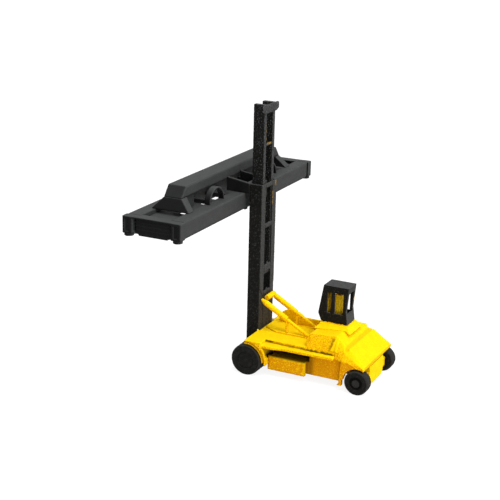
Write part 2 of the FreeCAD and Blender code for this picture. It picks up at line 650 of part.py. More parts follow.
def cab_seat():
    """Driver's seat and the console before it."""
    floor = CAB_FLOOR + CAB_SILL_T
    seat = box(SEAT_REAR + SEAT_BACK_T, SEAT_FRONT, -SEAT_HALF_Y, SEAT_HALF_Y,
               floor, floor + SEAT_H)
    back = box(SEAT_REAR, SEAT_REAR + SEAT_BACK_T, -SEAT_HALF_Y, SEAT_HALF_Y,
               floor, floor + SEAT_BACK_H)
    console = box(CONSOLE_X - CONSOLE_T / 2, CONSOLE_X + CONSOLE_T / 2, -CONSOLE_HALF_Y,
                  CONSOLE_HALF_Y, floor, floor + CONSOLE_H)
    return Part.makeCompound([fused([seat, back]), console])


# ---------------------------------------------------------------------- mast
INNER_REAR = OUTER_REAR + OUTER_FLANGE_T + SLIDE_GAP
INNER_FRONT = OUTER_FRONT - SLIDE_GAP
INNER_CHANNEL = INNER_HALF_Y - INNER_WEB


def recess():
    """Shallow step in the mast's rear face near its foot, upper edge slanted."""
    (y0, z0), (y1, z1) = RECESS_EDGE
    half = [(y0, z0), (y1, z1), (OUTER_HALF_Y + 1, z1), (OUTER_HALF_Y + 1, OUTER_FOOT - 1)]
    outline = half + [(-y, z) for y, z in reversed(half)]
    return front_prism(outline, OUTER_REAR - 1, OUTER_REAR + RECESS_DEPTH)


def outer_upright():
    """Left upright: side wall, rear flange and front lip around the inner mast."""
    wall_in = OUTER_HALF_Y - OUTER_WALL
    lip_in = INNER_HALF_Y + SLIDE_GAP
    outline = [(OUTER_REAR, OUTER_FLANGE_IN), (OUTER_REAR, OUTER_HALF_Y),
               (OUTER_FRONT, OUTER_HALF_Y), (OUTER_FRONT, lip_in),
               (OUTER_FRONT - OUTER_LIP_T, lip_in), (OUTER_FRONT - OUTER_LIP_T, wall_in),
               (OUTER_REAR + OUTER_FLANGE_T, wall_in),
               (OUTER_REAR + OUTER_FLANGE_T, OUTER_FLANGE_IN)]
    return plan_prism(outline, OUTER_FOOT, OUTER_TOP).cut(recess())


def outer_crossbars():
    """Rear bars between the uprights, two with a tab on top, and the closed plate below."""
    x0, x1, y = OUTER_REAR, OUTER_REAR + OUTER_FLANGE_T, OUTER_FLANGE_IN
    bars = [box(x0, x1, -y, y, z0, z1) for z0, z1 in OUTER_BARS[:2]]
    bottoms = [OUTER_BARS[2][0], OUTER_FOOT]
    for (z0, z1), bottom in zip(OUTER_BARS[2:], bottoms):
        tab = box(x0, x1, -LUMP_HALF_Y, LUMP_HALF_Y, z1, z1 + LUMP_H)
        bars.append(fused([box(x0, x1, -y, y, bottom, z1), tab]).cut(recess()))
    return Part.makeCompound(bars)


def inner_upright():
    """Left upright of the inner mast."""
    return box(INNER_REAR, INNER_FRONT, INNER_CHANNEL, INNER_HALF_Y, INNER_FOOT, INNER_TOP)


def inner_crossbars():
    """Thin bar half way up the part that shows, and the bar at the foot."""
    y = INNER_CHANNEL
    upper = box(INNER_REAR, INNER_REAR + INNER_BAR_T, -y, y, *INNER_BAR)
    foot = box(INNER_REAR, INNER_REAR + INNER_BAR_T, -y, y, INNER_FOOT,
               INNER_FOOT + INNER_FOOT_BAR_H)
    return Part.makeCompound([upper, foot])


def crosshead():
    """Plate across the back of the top, wider than the mast, its corners cut."""
    half = INNER_HALF_Y + CROSSHEAD_OVER
    (foot_y, foot_z), (tip_y, tip_z) = CROSSHEAD_FOOT, CROSSHEAD_TIP
    low, top = CROSSHEAD_BOTTOM, INNER_TOP
    left = [(half - foot_y, low), (half, low + foot_z), (half, top - tip_z), (half - tip_y, top)]
    outline = left + [(-y, z) for y, z in reversed(left)]
    return front_prism(outline, INNER_REAR - CROSSHEAD_BACK, INNER_REAR)


# ------------------------------------------------------------------ carriage
ARM_REAR = OUTER_FRONT + SLIDE_GAP
BEAM_REAR = SPREADER_X - BEAM_HALF_W


def carriage_plate():
    """Plate across the mast's front with the shoe that runs inside the inner mast."""
    plate = box(ARM_REAR, ARM_REAR + PLATE_T, -ARM_OUT + ARM_T, ARM_OUT - ARM_T,
                ARM_BOTTOM, ARM_TOP)
    half = INNER_CHANNEL - SIDE_GAP
    shoe = box(SHOE_REAR, ARM_REAR, -half, half, SHOE_BOTTOM, ARM_TOP)
    return fused([plate, shoe])


def carriage_arm():
    """Left arm from the mast's front, over the rear rail, to the central beam."""
    profile = [(ARM_REAR, ARM_BOTTOM), (ARM_REAR, ARM_TOP), (BEAM_REAR, ARM_NOSE_TOP),
               (BEAM_REAR, ARM_BOTTOM)]
    return side_prism(profile, ARM_OUT - ARM_T, ARM_OUT)


# ------------------------------------------------------------------ spreader
POST_START = SPREADER_HALF_LEN - POST_LEN


def rail():
    """Rear long beam between the two ends, with two small nubs under its edge."""
    x0 = SPREADER_X - RAIL_OUT
    beam = box(x0, SPREADER_X - RAIL_IN, -POST_START, POST_START, RAIL_BOTTOM, RAIL_TOP)
    dx, dy, dz = RAIL_NUB
    foot = box(x0, x0 + dx, RAIL_NUB_Y, RAIL_NUB_Y + dy, RAIL_BOTTOM - dz, RAIL_BOTTOM)
    return fused([beam, foot, mirrored(foot)])


def end_post():
    """Left front corner post: rounded edges, a groove between two ribs, a flared foot."""
    x0, x1 = SPREADER_X + POST_IN, SPREADER_X + SPREADER_HALF_W
    y1 = SPREADER_HALF_LEN
    post = box(x0, x1, POST_START, y1, RAIL_BOTTOM, RAIL_TOP)
    upright = [e for e in post.Edges if all(abs(v.Y - y1) < 1e-6 for v in e.Vertexes)
               and abs(e.Length - (RAIL_TOP - RAIL_BOTTOM)) < 1e-6]
    post = post.makeFillet(POST_ROUND, upright)
    groove = box(x0 + POST_RIB, x1 - POST_RIB, y1 - POST_GROOVE, y1 + 1,
                 RAIL_BOTTOM + POST_BORDER, RAIL_TOP - POST_BORDER)
    z = RAIL_BOTTOM + POST_FLARE
    flare = side_prism([(x0, z), (x0 - POST_FLARE, RAIL_BOTTOM), (x0, RAIL_BOTTOM)],
                       POST_START, y1 - POST_ROUND)
    return fused([post.cut(groove), flare])


def spreader_end():
    """Left end: two corner posts, recessed panel with ribs, top flange and inner plate."""
    post = end_post()
    panel_y = SPREADER_HALF_LEN - END_RECESS
    panel = box(SPREADER_X - END_PANEL_HALF_X, SPREADER_X + END_PANEL_HALF_X,
                POST_START, panel_y, RAIL_BOTTOM, RAIL_TOP - END_FLANGE_T)
    lip = box(SPREADER_X - END_LIP_HALF_X, SPREADER_X + END_LIP_HALF_X,
              POST_START, panel_y, END_PANEL_BOTTOM, RAIL_BOTTOM)
    height = RAIL_TOP - END_FLANGE_T - RAIL_BOTTOM
    ribs = [box(SPREADER_X - END_PANEL_HALF_X, SPREADER_X + END_PANEL_HALF_X, panel_y,
                panel_y + END_PANEL_RIB, RAIL_BOTTOM + k * height / 4,
                RAIL_BOTTOM + k * height / 4 + END_PANEL_RIB) for k in (0, 1, 2, 3)]
    flange = box(SPREADER_X - POST_IN, SPREADER_X + POST_IN, POST_START,
                 SPREADER_HALF_LEN - END_FLANGE_OUT, RAIL_TOP - END_FLANGE_T, RAIL_TOP)
    inner = box(SPREADER_X - RAIL_IN, SPREADER_X + RAIL_IN, POST_START - END_FLANGE_IN,
                POST_START, RAIL_TOP - END_FLANGE_T, RAIL_TOP)
    plate = box(SPREADER_X - RAIL_IN, SPREADER_X + RAIL_IN, END_PLATE_INNER, POST_START,
                END_PLATE_TOP - END_PLATE_T, END_PLATE_TOP)
    end = fused([post, mirrored_x(post, SPREADER_X), panel, lip, flange, inner] + ribs)
    return end, plate


def twistlocks():
    """Four round feet under the corners."""
    feet = []
    for sx in (-1, 1):
        for sy in (-1, 1):
            base = V(SPREADER_X + sx * LOCK_X, sy * LOCK_Y, LOCK_BOTTOM)
            feet.append(Part.makeCylinder(LOCK_R, RAIL_BOTTOM - LOCK_BOTTOM, base, V(0, 0, 1)))
    return Part.makeCompound(feet)


def central_beam():
    """Box beam along the top, ends raked."""
    profile = [V(SPREADER_X - BEAM_HALF_W, -BEAM_HALF_LEN_BOTTOM, BEAM_BOTTOM),
               V(SPREADER_X - BEAM_HALF_W, -BEAM_HALF_LEN_TOP, BEAM_TOP),
               V(SPREADER_X - BEAM_HALF_W, BEAM_HALF_LEN_TOP, BEAM_TOP),
               V(SPREADER_X - BEAM_HALF_W, BEAM_HALF_LEN_BOTTOM, BEAM_BOTTOM)]
    return prism(profile, V(2 * BEAM_HALF_W, 0, 0))


def saddle():
    """Left tapered support between the beam and the rails."""
    sections = []
    for y, z, half in ((SADDLE_Y_FOOT, RAIL_TOP, SADDLE_HALF_FOOT),
                       (SADDLE_Y_TOP, BEAM_BOTTOM, SADDLE_HALF_TOP)):
        ring = [V(SPREADER_X - half, y, z), V(SPREADER_X + half, y, z),
                V(SPREADER_X + half, y - SADDLE_T, z), V(SPREADER_X - half, y - SADDLE_T, z)]
        sections.append(Part.makePolygon(ring + ring[:1]))
    return Part.makeLoft(sections, True, True)


def cross_members():
    """Low plates between the two rails: one in the middle, two on each side."""
    bars = [box(SPREADER_X - RAIL_IN, SPREADER_X + RAIL_IN, -CROSS_MIDDLE, CROSS_MIDDLE,
                CROSS_TOP - CROSS_H, CROSS_TOP)]
    for near, far in CROSS_SPANS:
        bar = box(SPREADER_X - RAIL_IN, SPREADER_X + RAIL_IN, near, far,
                  CROSS_TOP - CROSS_H, CROSS_TOP)
        bars += [bar, mirrored(bar)]
    return Part.makeCompound(bars)


def beam_box():
    """Left box hung under the central beam, its inner lower corner rounded."""
    near, far = BEAM_BOX_Y
    x0, x1 = SPREADER_X - BEAM_BOX_HALF_W, SPREADER_X + BEAM_BOX_HALF_W
    body = box(x0, x1, near, far, BEAM_BOX_BOTTOM, BEAM_BOTTOM)
    edge = [e for e in body.Edges
            if all(abs(v.Y - near) + abs(v.Z - BEAM_BOX_BOTTOM) < 1e-6 for v in e.Vertexes)]
    return body.makeFillet(BEAM_BOX_ROUND, edge)


def beam_arch():
    """Left half-round bracket standing on the rear rail's inner edge."""
    x1 = SPREADER_X - RAIL_IN
    axis = V(x1 - ARCH_W, ARCH_Y, RAIL_TOP)
    outer = Part.makeCylinder(ARCH_R, ARCH_W, axis, V(1, 0, 0))
    ring = outer.cut(Part.makeCylinder(ARCH_R - ARCH_T, ARCH_W, axis, V(1, 0, 0)))
    room = box(x1 - ARCH_W, x1, ARCH_Y - ARCH_R, ARCH_Y + ARCH_R, RAIL_TOP, RAIL_TOP + ARCH_R)
    return ring.common(room)


# --------------------------------------------------------------------- write
def build():
    """All pieces by name, with the front axle at x = 0."""
    pieces = {}

    def pair(name, shape):
        pieces[name + "_left"] = shape
        pieces[name + "_right"] = mirrored(shape)

    outer, inner, hub = front_wheel()
    pair("front_tyre_outer", outer)
    pair("front_tyre_inner", inner)
    pair("front_hub", hub)
    ring, hub = rear_wheel()
    pair("rear_tyre", ring)
    pair("rear_hub", hub)
    pieces["front_axle"] = front_axle()
    pieces["rear_axle"] = rear_axle()
    pieces["chassis_frame"] = chassis_frame().cut(front_axle())
    pair("side_wall", side_wall())
    pieces["deck"] = deck()
    pair("fender_side", fender_side())
    pair("mudguard", mudguard())
    pieces["centre_panel"] = centre_panel()
    pieces["side_box"] = side_box()
    pieces["hood"] = hood()
    pieces["counterweight"] = counterweight().cut(side_box())
    pair("rear_guard", rear_guard())
    pieces["rear_box"] = rear_box()
    pair("tank", tank())
    pieces["tilt_cylinder_left"] = tilt_cylinder()
    pieces["tilt_cylinder_right"] = fused([mirrored(tilt_cylinder()), cross_boss()])
    pieces["cab_shell"] = cab_shell()
    pieces["cab_pedestal"] = cab_pedestal()
    pieces["cab_seat"] = cab_seat()
    pair("outer_upright", outer_upright())
    pieces["outer_crossbars"] = outer_crossbars()
    pair("inner_upright", inner_upright())
    pieces["inner_crossbars"] = inner_crossbars()
    pieces["crosshead"] = crosshead()
    pieces["carriage_plate"] = carriage_plate()
    pair("carriage_arm", carriage_arm())
    pieces["rail_rear"] = rail()
    pieces["rail_front"] = mirrored_x(rail(), SPREADER_X)
    end, plate = spreader_end()
    pair("spreader_end", end)
    pair("end_plate", plate)
    pieces["twistlocks"] = twistlocks()
    pieces["central_beam"] = central_beam()
    pair("saddle", saddle())
    pieces["cross_members"] = cross_members()
    pair("beam_box", beam_box())
    pair("beam_arch", beam_arch())
    return pieces


os.makedirs("parts", exist_ok=True)
for name, shape in build().items():
    shape.translate(V(ORIGIN_SHIFT, 0, 0))
    shape.exportStep("parts/" + name + ".step")
    print(name, len(shape.Solids), round(shape.Volume, 3), shape.isValid())
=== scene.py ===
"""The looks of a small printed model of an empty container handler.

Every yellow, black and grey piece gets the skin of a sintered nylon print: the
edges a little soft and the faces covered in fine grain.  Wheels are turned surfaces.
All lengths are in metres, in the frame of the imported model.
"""
import json

import bmesh
import bpy
import numpy as np
from mathutils import Matrix, Vector


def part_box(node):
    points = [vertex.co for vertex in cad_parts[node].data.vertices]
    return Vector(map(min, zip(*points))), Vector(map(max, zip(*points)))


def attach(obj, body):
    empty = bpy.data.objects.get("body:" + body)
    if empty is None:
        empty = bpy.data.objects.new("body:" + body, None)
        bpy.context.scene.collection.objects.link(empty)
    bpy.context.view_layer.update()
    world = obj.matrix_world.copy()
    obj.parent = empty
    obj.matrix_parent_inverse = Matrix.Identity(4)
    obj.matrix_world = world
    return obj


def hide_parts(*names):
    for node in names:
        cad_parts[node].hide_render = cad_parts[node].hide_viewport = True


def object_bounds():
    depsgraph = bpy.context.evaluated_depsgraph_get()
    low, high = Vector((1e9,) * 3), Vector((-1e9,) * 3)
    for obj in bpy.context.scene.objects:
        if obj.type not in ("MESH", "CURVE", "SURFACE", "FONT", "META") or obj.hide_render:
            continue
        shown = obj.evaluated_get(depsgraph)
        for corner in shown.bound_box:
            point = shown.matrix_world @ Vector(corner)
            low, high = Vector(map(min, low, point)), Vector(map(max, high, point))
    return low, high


bl_info = {
    "name": "Container handler print",
    "version": (1, 0, 0),
    "blender": (4, 5, 0),
    "location": "3D View > Sidebar > Handler",
    "description": "Skins, wheels, paint and stage of a printed container handler",
    "category": "Object",
}

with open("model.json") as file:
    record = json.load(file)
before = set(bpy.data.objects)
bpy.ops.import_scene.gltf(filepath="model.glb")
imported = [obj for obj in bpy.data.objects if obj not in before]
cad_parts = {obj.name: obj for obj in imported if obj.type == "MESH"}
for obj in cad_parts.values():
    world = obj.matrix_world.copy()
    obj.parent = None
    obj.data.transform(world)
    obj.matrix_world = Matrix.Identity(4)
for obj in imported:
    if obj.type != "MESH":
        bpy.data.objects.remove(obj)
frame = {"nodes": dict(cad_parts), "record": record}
CAD_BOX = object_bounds()
MM = 0.001
UPWARD_REAR = (-0.62, 0.22, 0.75)       # faces turned this way get the most painted light: the lit colour for light from above and behind
BODY_OF = {n: b for b, names in frame["record"]["behaviour"]["bodies"].items() for n in names}
SLOT_OF = {p["node"]: p["material_slot"] for p in frame["record"]["subparts"]}

# Stations on the hull, in mm.
DECK_Y = 9.05            # edge of the raised deck
RISER = 0.80             # height of the deck's edge over the walkway
RISER_FRONT = 1.90       # where the painted shadow in the groove along that edge begins
RECESS_Y = 9.90          # painted shadow fills the hollow over the tank inside this
UNDER_SHADE_Z = 8.00             # the hull's upright sides get painted shade below this
UNDER_SHADE_BLEND = 0.50         # the painted shade fades in over this height
BAND_LIFT = 0.16         # how far the counterweight's raised corner stands out
STEP_DROP = 0.14         # how deep the step across the counterweight is
FOOT_FLARE = 1.20        # how far the pedestal's foot spreads

# Widths of grains and lumps, in mm.
HULL_GRAIN, HULL_CLOUD = 0.27, 2.5
PAINT_GRAIN, PAINT_SPARK, PAINT_WEAR = 0.30, 0.26, 0.55
CAB_GRAIN, CAB_FINE, CAB_SPECK, CAB_PATCH, CAB_RAGGED = 0.20, 0.16, 0.24, 0.9, 0.45
CAB_WALL, CAB_FRONT_WALL, CAB_REAR, CAB_ROOF = 0.33, 0.9, 2.0, 0.4
SEAT_GRAIN = 0.26
GREY_GRAIN, GREY_SPARK, GREY_CLOUD, GREY_LAYER = 0.18, 0.16, 1.6, 0.35
WHEEL_GRAIN, TYRE_GRAIN, TYRE_DUST = 0.60, 0.25, 1.1
TYRE_SHOULDER, TREAD_DEPTH, TYRE_WOBBLE, TYRE_TURN = 0.50, 0.35, 0.035, 120
HUB_ROUND, HUB_WOBBLE, HUB_TURN, STUB_BORE = 0.12, 0.012, 72, 0.95
HUB_RING = 0.45          # the dark ring round a rear hub's cap is this wide
ON_AXIS = 1e-7           # metres: a point nearer the axis than this stays on it

# Colours that only one finish uses.
# Painted glints: grey and cool specks for the light glinting on the grain tips of the black
# paint.
GLINT_TIPS = (0.095, 0.095, 0.085)
UPPER_GLINT_TIPS = (0.100, 0.106, 0.108)
WORN_RIDGE = (0.36, 0.20, 0.015)
CAB_SPECKS = (0.075, 0.055, 0.012)
CAB_WORN = (0.80, 0.42, 0.002)
LINING_DARK, LINING_BARE = (0.022, 0.013, 0.002), (0.55, 0.33, 0.004)
SEAT_BARE, SEAT_LOW_DARK = (0.72, 0.45, 0.006), (0.040, 0.022, 0.002)
# The grey's pale colour: painted sheen on faces that look up or back and painted highlights on
# ridges, over grain tone; its dark one: painted shade on faces that look to +y.
GREY_DUST_AND_SHEEN, GREY_SHADE = (0.064, 0.066, 0.066), (0.0016, 0.0016, 0.0016)
WHEEL_DUST, WHEEL_RING = (0.040, 0.039, 0.036), (0.0015, 0.0015, 0.001)

# Stage, in metres.
KEY_PLACE, FILL_PLACE = (-0.20, 0.13, 0.48), (-0.45, 0.35, 0.16)
LAMP_SIZE = 0.30
FLOOR_REACH, FLOOR_ROWS = 1.5, 9
FLOOR_PAPER, FLOOR_GLOW = 0.22, 0.88     # the floor as the camera sees it

# Pieces given extra painted light, in the first table, and extra painted shade, in the second.
LIT_PIECES = {"cab_pedestal": 0.50, "side_box": 0.25, "rear_box": 0.35, "mudguard_right": 0.60,
         "fender_side_right": 0.60}
SHADED_PIECES = {"fender_side_left": 0.35, "mudguard_left": 0.25, "side_wall_left": 1.0,
          "rear_guard_left": 1.0}

# Lines where the black paint has rubbed through: from, to, and half width, in mm.
RUBS = [((6.72, 1.85, 60.6), (6.72, 1.85, 64.5), 0.18),
        ((6.72, 1.0, 59.75), (6.72, -0.5, 59.75), 0.32),
        ((6.32, -3.7, 49.0), (6.32, -3.7, 48.1), 0.34),
        ((6.32, -2.1, 46.5), (6.32, -2.1, 43.0), 0.20),
        ((6.32, 2.0, 47.0), (6.32, 2.0, 41.5), 0.14),
        ((-18.05, -2.2, 20.8), (-17.8, -2.5, 21.4), 0.42)]


# ------------------------------------------------------------------ settings
class PrintSettings(bpy.types.PropertyGroup):
    """How coarse the print is."""
    voxel: bpy.props.FloatProperty(
        name="Skin step", description="Spacing of the skin's points on the hull",
        default=0.17 * MM, precision=6, subtype="DISTANCE", unit="LENGTH")
    fine_voxel: bpy.props.FloatProperty(
        name="Fine skin step", description="Spacing on thin and small pieces",
        default=0.13 * MM, precision=6, subtype="DISTANCE", unit="LENGTH")
    hidden_voxel: bpy.props.FloatProperty(
        name="Hidden skin step", description="Spacing on pieces that hardly show",
        default=0.30 * MM, precision=6, subtype="DISTANCE", unit="LENGTH")
    grain_size: bpy.props.FloatProperty(
        name="Grain size", description="Width of one grain of the sintered surface",
        default=0.30 * MM, precision=6, subtype="DISTANCE", unit="LENGTH")
    grain_height: bpy.props.FloatProperty(
        name="Grain height", description="How far the grain stands out on the hull",
        default=0.035 * MM, precision=6, subtype="DISTANCE", unit="LENGTH")
    smooth_grain: bpy.props.FloatProperty(
        name="Smooth grain height", description="Grain of the finer grey print",
        default=0.008 * MM, precision=6, subtype="DISTANCE", unit="LENGTH")
    softening: bpy.props.IntProperty(
        name="Edge softening", description="Rounds of smoothing on the edges", default=2)


class PaintSettings(bpy.types.PropertyGroup):
    """Colours of the dyed nylon and of the paint, and of painted light, shade, shadow and sheen
    on them.
    """
    # The hull's yellow, also its lit copy on faces that look up and back.
    yellow: bpy.props.FloatVectorProperty(
        name="Yellow nylon", description="Colour of the dyed hull",
        default=(0.97, 0.70, 0.001), subtype="COLOR")
    # Painted shade: a shaded copy of the yellow, for faces turned from the light.
    side_yellow: bpy.props.FloatVectorProperty(
        name="Side yellow", description="Colour of faces that stood upright in the dye",
        default=(0.98, 0.58, 0.001), subtype="COLOR")
    # Painted shade: the yellow in the shade on the upright faces under the walkway.
    low_yellow: bpy.props.FloatVectorProperty(
        name="Low yellow", description="Colour of the upright faces under the walkway",
        default=(0.60, 0.215, 0.0005), subtype="COLOR")
    # Grain pits and cloudy tone of the print, with painted shade in concave corners.
    deep_yellow: bpy.props.FloatVectorProperty(
        name="Deep yellow", description="Dye gathered between grains and in corners",
        default=(0.66, 0.25, 0.0), subtype="COLOR")
    # Painted shadow: dark brown for the shadow in the hull's recesses, along the deck's edge
    # and under the walkway.
    soot: bpy.props.FloatVectorProperty(
        name="Dark hollow", description="Dye and dust packed in grooves and under the walkway",
        default=(0.034, 0.017, 0.001), subtype="COLOR")
    black: bpy.props.FloatVectorProperty(
        name="Black paint", description="Brushed paint on mast and cab",
        default=(0.0036, 0.0034, 0.0027), subtype="COLOR")
    # Painted sheen: grey for the light's sheen on black faces that look up or back.
    dust: bpy.props.FloatVectorProperty(
        name="Dust", description="Grey dust on the black faces that look up or back",
        default=(0.060, 0.061, 0.060), subtype="COLOR")
    grey: bpy.props.FloatVectorProperty(
        name="Grey nylon", description="Colour of the spreader's print",
        default=(0.0060, 0.0062, 0.0062), subtype="COLOR")
    rubber: bpy.props.FloatVectorProperty(
        name="Wheel black", description="Colour of the wheels",
        default=(0.0065, 0.0063, 0.0055), subtype="COLOR")


class StageSettings(bpy.types.PropertyGroup):
    """Camera, lamps and floor."""
    azimuth: bpy.props.FloatProperty(
        name="Azimuth", description="Heading of the camera, 0 looks along +Y",
        default=np.radians(206.151), subtype="ANGLE", unit="ROTATION")
    elevation: bpy.props.FloatProperty(
        name="Elevation", description="Height of the camera above the horizon",
        default=np.radians(17.627), subtype="ANGLE", unit="ROTATION")
    roll: bpy.props.FloatProperty(
        name="Roll", description="Turn of the camera about its line of sight",
        default=np.radians(1.330), subtype="ANGLE", unit="ROTATION")
    place: bpy.props.FloatVectorProperty(
        name="Camera place", description="Where the camera stands",
        default=(-0.121810, 0.271623, 0.126227), precision=6, subtype="TRANSLATION",
        unit="LENGTH")
    lens: bpy.props.FloatProperty(
        name="Lens", description="Focal length in millimetres on a 36 mm frame",
        default=86.114)
    key_power: bpy.props.FloatProperty(
        name="Key light", description="Power of the lamp above and behind", default=2.15,
        unit="POWER")
    fill_power: bpy.props.FloatProperty(
        name="Fill light", description="Power of the lamp behind the model", default=0.78,
        unit="POWER")
    sky: bpy.props.FloatProperty(
        name="Room", description="Strength of the light from the camera's side", default=0.52)
    backdrop: bpy.props.FloatProperty(
        name="Backdrop", description="Strength of the light from the white backdrop",
        default=0.85)
    floor_colour: bpy.props.FloatVectorProperty(
        name="Floor", description="Colour of the floor", default=(0.80, 0.80, 0.80),
        subtype="COLOR")


# ------------------------------------------------------------- shader wiring
class Socket:
    """An output socket whose arithmetic adds Math nodes to its material."""

    def __init__(self, finish, link):
        self.finish = finish
        self.link = link

    def _math(self, operation, a, b):
        return self.finish.node("ShaderNodeMath", {"operation": operation}, {0: a, 1: b})

    def __add__(self, other):
        return self._math("ADD", self, other)

    __radd__ = __add__

    def __sub__(self, other):
        return self._math("SUBTRACT", self, other)

    def __rsub__(self, other):
        return self._math("SUBTRACT", other, self)

    def __mul__(self, other):
        return self._math("MULTIPLY", self, other)

    __rmul__ = __mul__

    def over(self, level):
        """1 where this is above the level, else 0."""
        return self._math("GREATER_THAN", self, level)

    def least(self, other):
        """The smaller of the two."""
        return self._math("MINIMUM", self, other)


class Finish:
    """The nodes of a material or a world being wired: every node comes from node()."""

    def __init__(self, owner):
        owner.use_nodes = True
        self.owner = owner
        self.tree = owner.node_tree
        self.tree.nodes.clear()

    def node(self, kind, settings, inputs, output=0):
        """Adds a node: its settings first, then the values or links of its sockets."""
        made = self.tree.nodes.new(kind)
        for key, value in settings.items():
            setattr(made, key, value)
        for key, value in inputs.items():
            if isinstance(value, Socket):
                self.tree.links.new(value.link, made.inputs[key])
            else:
                made.inputs[key].default_value = value
        return Socket(self, made.outputs[output] if made.outputs else None)

    def point(self):
        """The point on the object, in metres."""
        return self.node("ShaderNodeTexCoord", {}, {}, "Object")

    def axes(self):
        """The point's x, y and z in metres."""
        split = self.node("ShaderNodeSeparateXYZ", {}, {"Vector": self.point()})
        return [Socket(self, split.link.node.outputs[k]) for k in range(3)]

    def noise(self, size, detail=2.0, stretch=(1, 1, 1)):
        """Noise from 0 to 1 whose lumps are about size wide."""
        place = self.node("ShaderNodeMapping", {}, {
            "Vector": self.point(), "Scale": [s / size for s in stretch]})
        return self.node("ShaderNodeTexNoise", {}, {
            "Vector": place, "Scale": 1.0, "Detail": detail, "Roughness": 0.6}, "Fac")

    def ramp(self, value, low, high):
        """0 below low, 1 above high, straight between them."""
        return self.node("ShaderNodeMapRange", {}, {
            "Value": value, "From Min": low, "From Max": high})

    def value_of(self, attribute):
        """A value that the skin carries at each of its points."""
        return self.node("ShaderNodeAttribute", {"attribute_name": attribute}, {}, "Fac")

    def edge(self):
        """The skin's edge value: above 0 on ridges, below 0 in corners."""
        return self.value_of("edge")

    def mix(self, factor, a, b):
        """Colour a where the factor is 0 and b where it is 1."""
        colours = [c if isinstance(c, Socket) else (*c, 1.0) for c in (a, b)]
        return self.node("ShaderNodeMix", {"data_type": "RGBA"}, {
            0: factor, 6: colours[0], 7: colours[1]}, 2)

    def bump(self, height, depth, strength=1.0):
        """Normal of a surface raised by height, 0 to 1, times depth in metres."""
        return self.node("ShaderNodeBump", {}, {
            "Height": height, "Distance": depth, "Strength": strength})

    def surface(self, colour, roughness, normal, specular=0.5):
        """Ends the material in one shader."""
        shader = self.node("ShaderNodeBsdfPrincipled", {}, {
            "Base Color": colour if isinstance(colour, Socket) else (*colour, 1.0),
            "Roughness": roughness, "Normal": normal, "Specular IOR Level": specular})
        self.node("ShaderNodeOutputMaterial", {}, {"Surface": shader})
        return self.owner


# ----------------------------------------------------------------- materials
def yellow_nylon(name="yellow_nylon"):
    """Dyed sintered nylon with painted light and shade: pale on top, deeper on its sides,
    between grains, in corners and under the walkway; painted shadow in recesses.
    """
    paint = bpy.context.scene.handler_paint
    f = Finish(bpy.data.materials.new(name))
    grain = f.noise(HULL_GRAIN * MM, 2.0)
    cloud = f.noise(HULL_CLOUD * MM, 2.0)
    # Painted light and shade: faces that look up and back take the lit yellow, others the
    # shaded one; low is painted shade under the walkway.
    pale = f.ramp(f.value_of("pale"), 0.50, 0.86)
    upper = f.mix(pale, tuple(paint.side_yellow), tuple(paint.yellow))
    base = f.mix(f.value_of("low"), upper, tuple(paint.low_yellow))
    # Painted shade in concave corners; grain pits show most on faces turned from the light.
    corner = f.ramp(f.edge(), 0.15, -0.55)
    pits = f.ramp(grain, 0.55, 0.37) * (1.0 - pale * 0.90)
    deep = (pits + f.ramp(cloud, 0.60, 0.40) * 0.10 + corner * 0.45).least(1.0)
    tips = f.ramp(grain, 0.53, 0.66) * (0.75 - pale * 0.60)
    colour = f.mix(tips, f.mix(deep, base, tuple(paint.deep_yellow)), tuple(paint.yellow))
    # Painted shadow in the hull's recesses and along the deck's edge.
    colour = f.mix(f.value_of("dark"), colour, tuple(paint.soot))
    normal = f.bump(grain, 0.075 * MM, 0.9)
    return f.surface(colour, 0.72 + grain * 0.25, normal, 0.06)


def black_paint(name="black_paint", sparkle=0.30, tip=GLINT_TIPS):
    """Matt black paint brushed over grain: painted glints on the tips, painted sheen on faces
    that look up or back, worn specks on the ridges.
    """
    paint = bpy.context.scene.handler_paint
    f = Finish(bpy.data.materials.new(name))
    grain = f.noise(PAINT_GRAIN * MM, 2.0)
    # Painted sheen: faces that look up or back turn grey.
    sheen_facing = f.ramp(f.value_of("pale"), 0.52, 0.85)
    base = f.mix(sheen_facing * f.ramp(grain, 0.25, 0.60), tuple(paint.black), tuple(paint.dust))
    # Painted glints: bright specks on the grain tips.
    sparks = f.ramp(f.noise(PAINT_SPARK * MM, 0.0), 0.68, 0.75)
    tips = f.ramp(grain, 0.54, 0.74) * (0.3 * sparkle) + sparks * sparkle
    colour = f.mix(tips.least(1.0), base, tip)
    worn = f.ramp(f.edge(), 0.25, 0.55) * f.noise(PAINT_WEAR * MM, 2.0).over(0.62)
    rubbed = f.value_of("rub") * f.ramp(grain, 0.42, 0.55)
    colour = f.mix((worn * 0.75 + rubbed).least(1.0), colour, WORN_RIDGE)
    normal = f.bump(grain, 0.060 * MM, 0.9)
    return f.surface(colour, 0.75 - grain * 0.35, normal, 0.08)


def upper_paint(name="upper_paint"):
    """The same paint, cooler and with more painted glints on the tips, on the upper stage of
    the mast.
    """
    return black_paint(name, 0.95, UPPER_GLINT_TIPS)


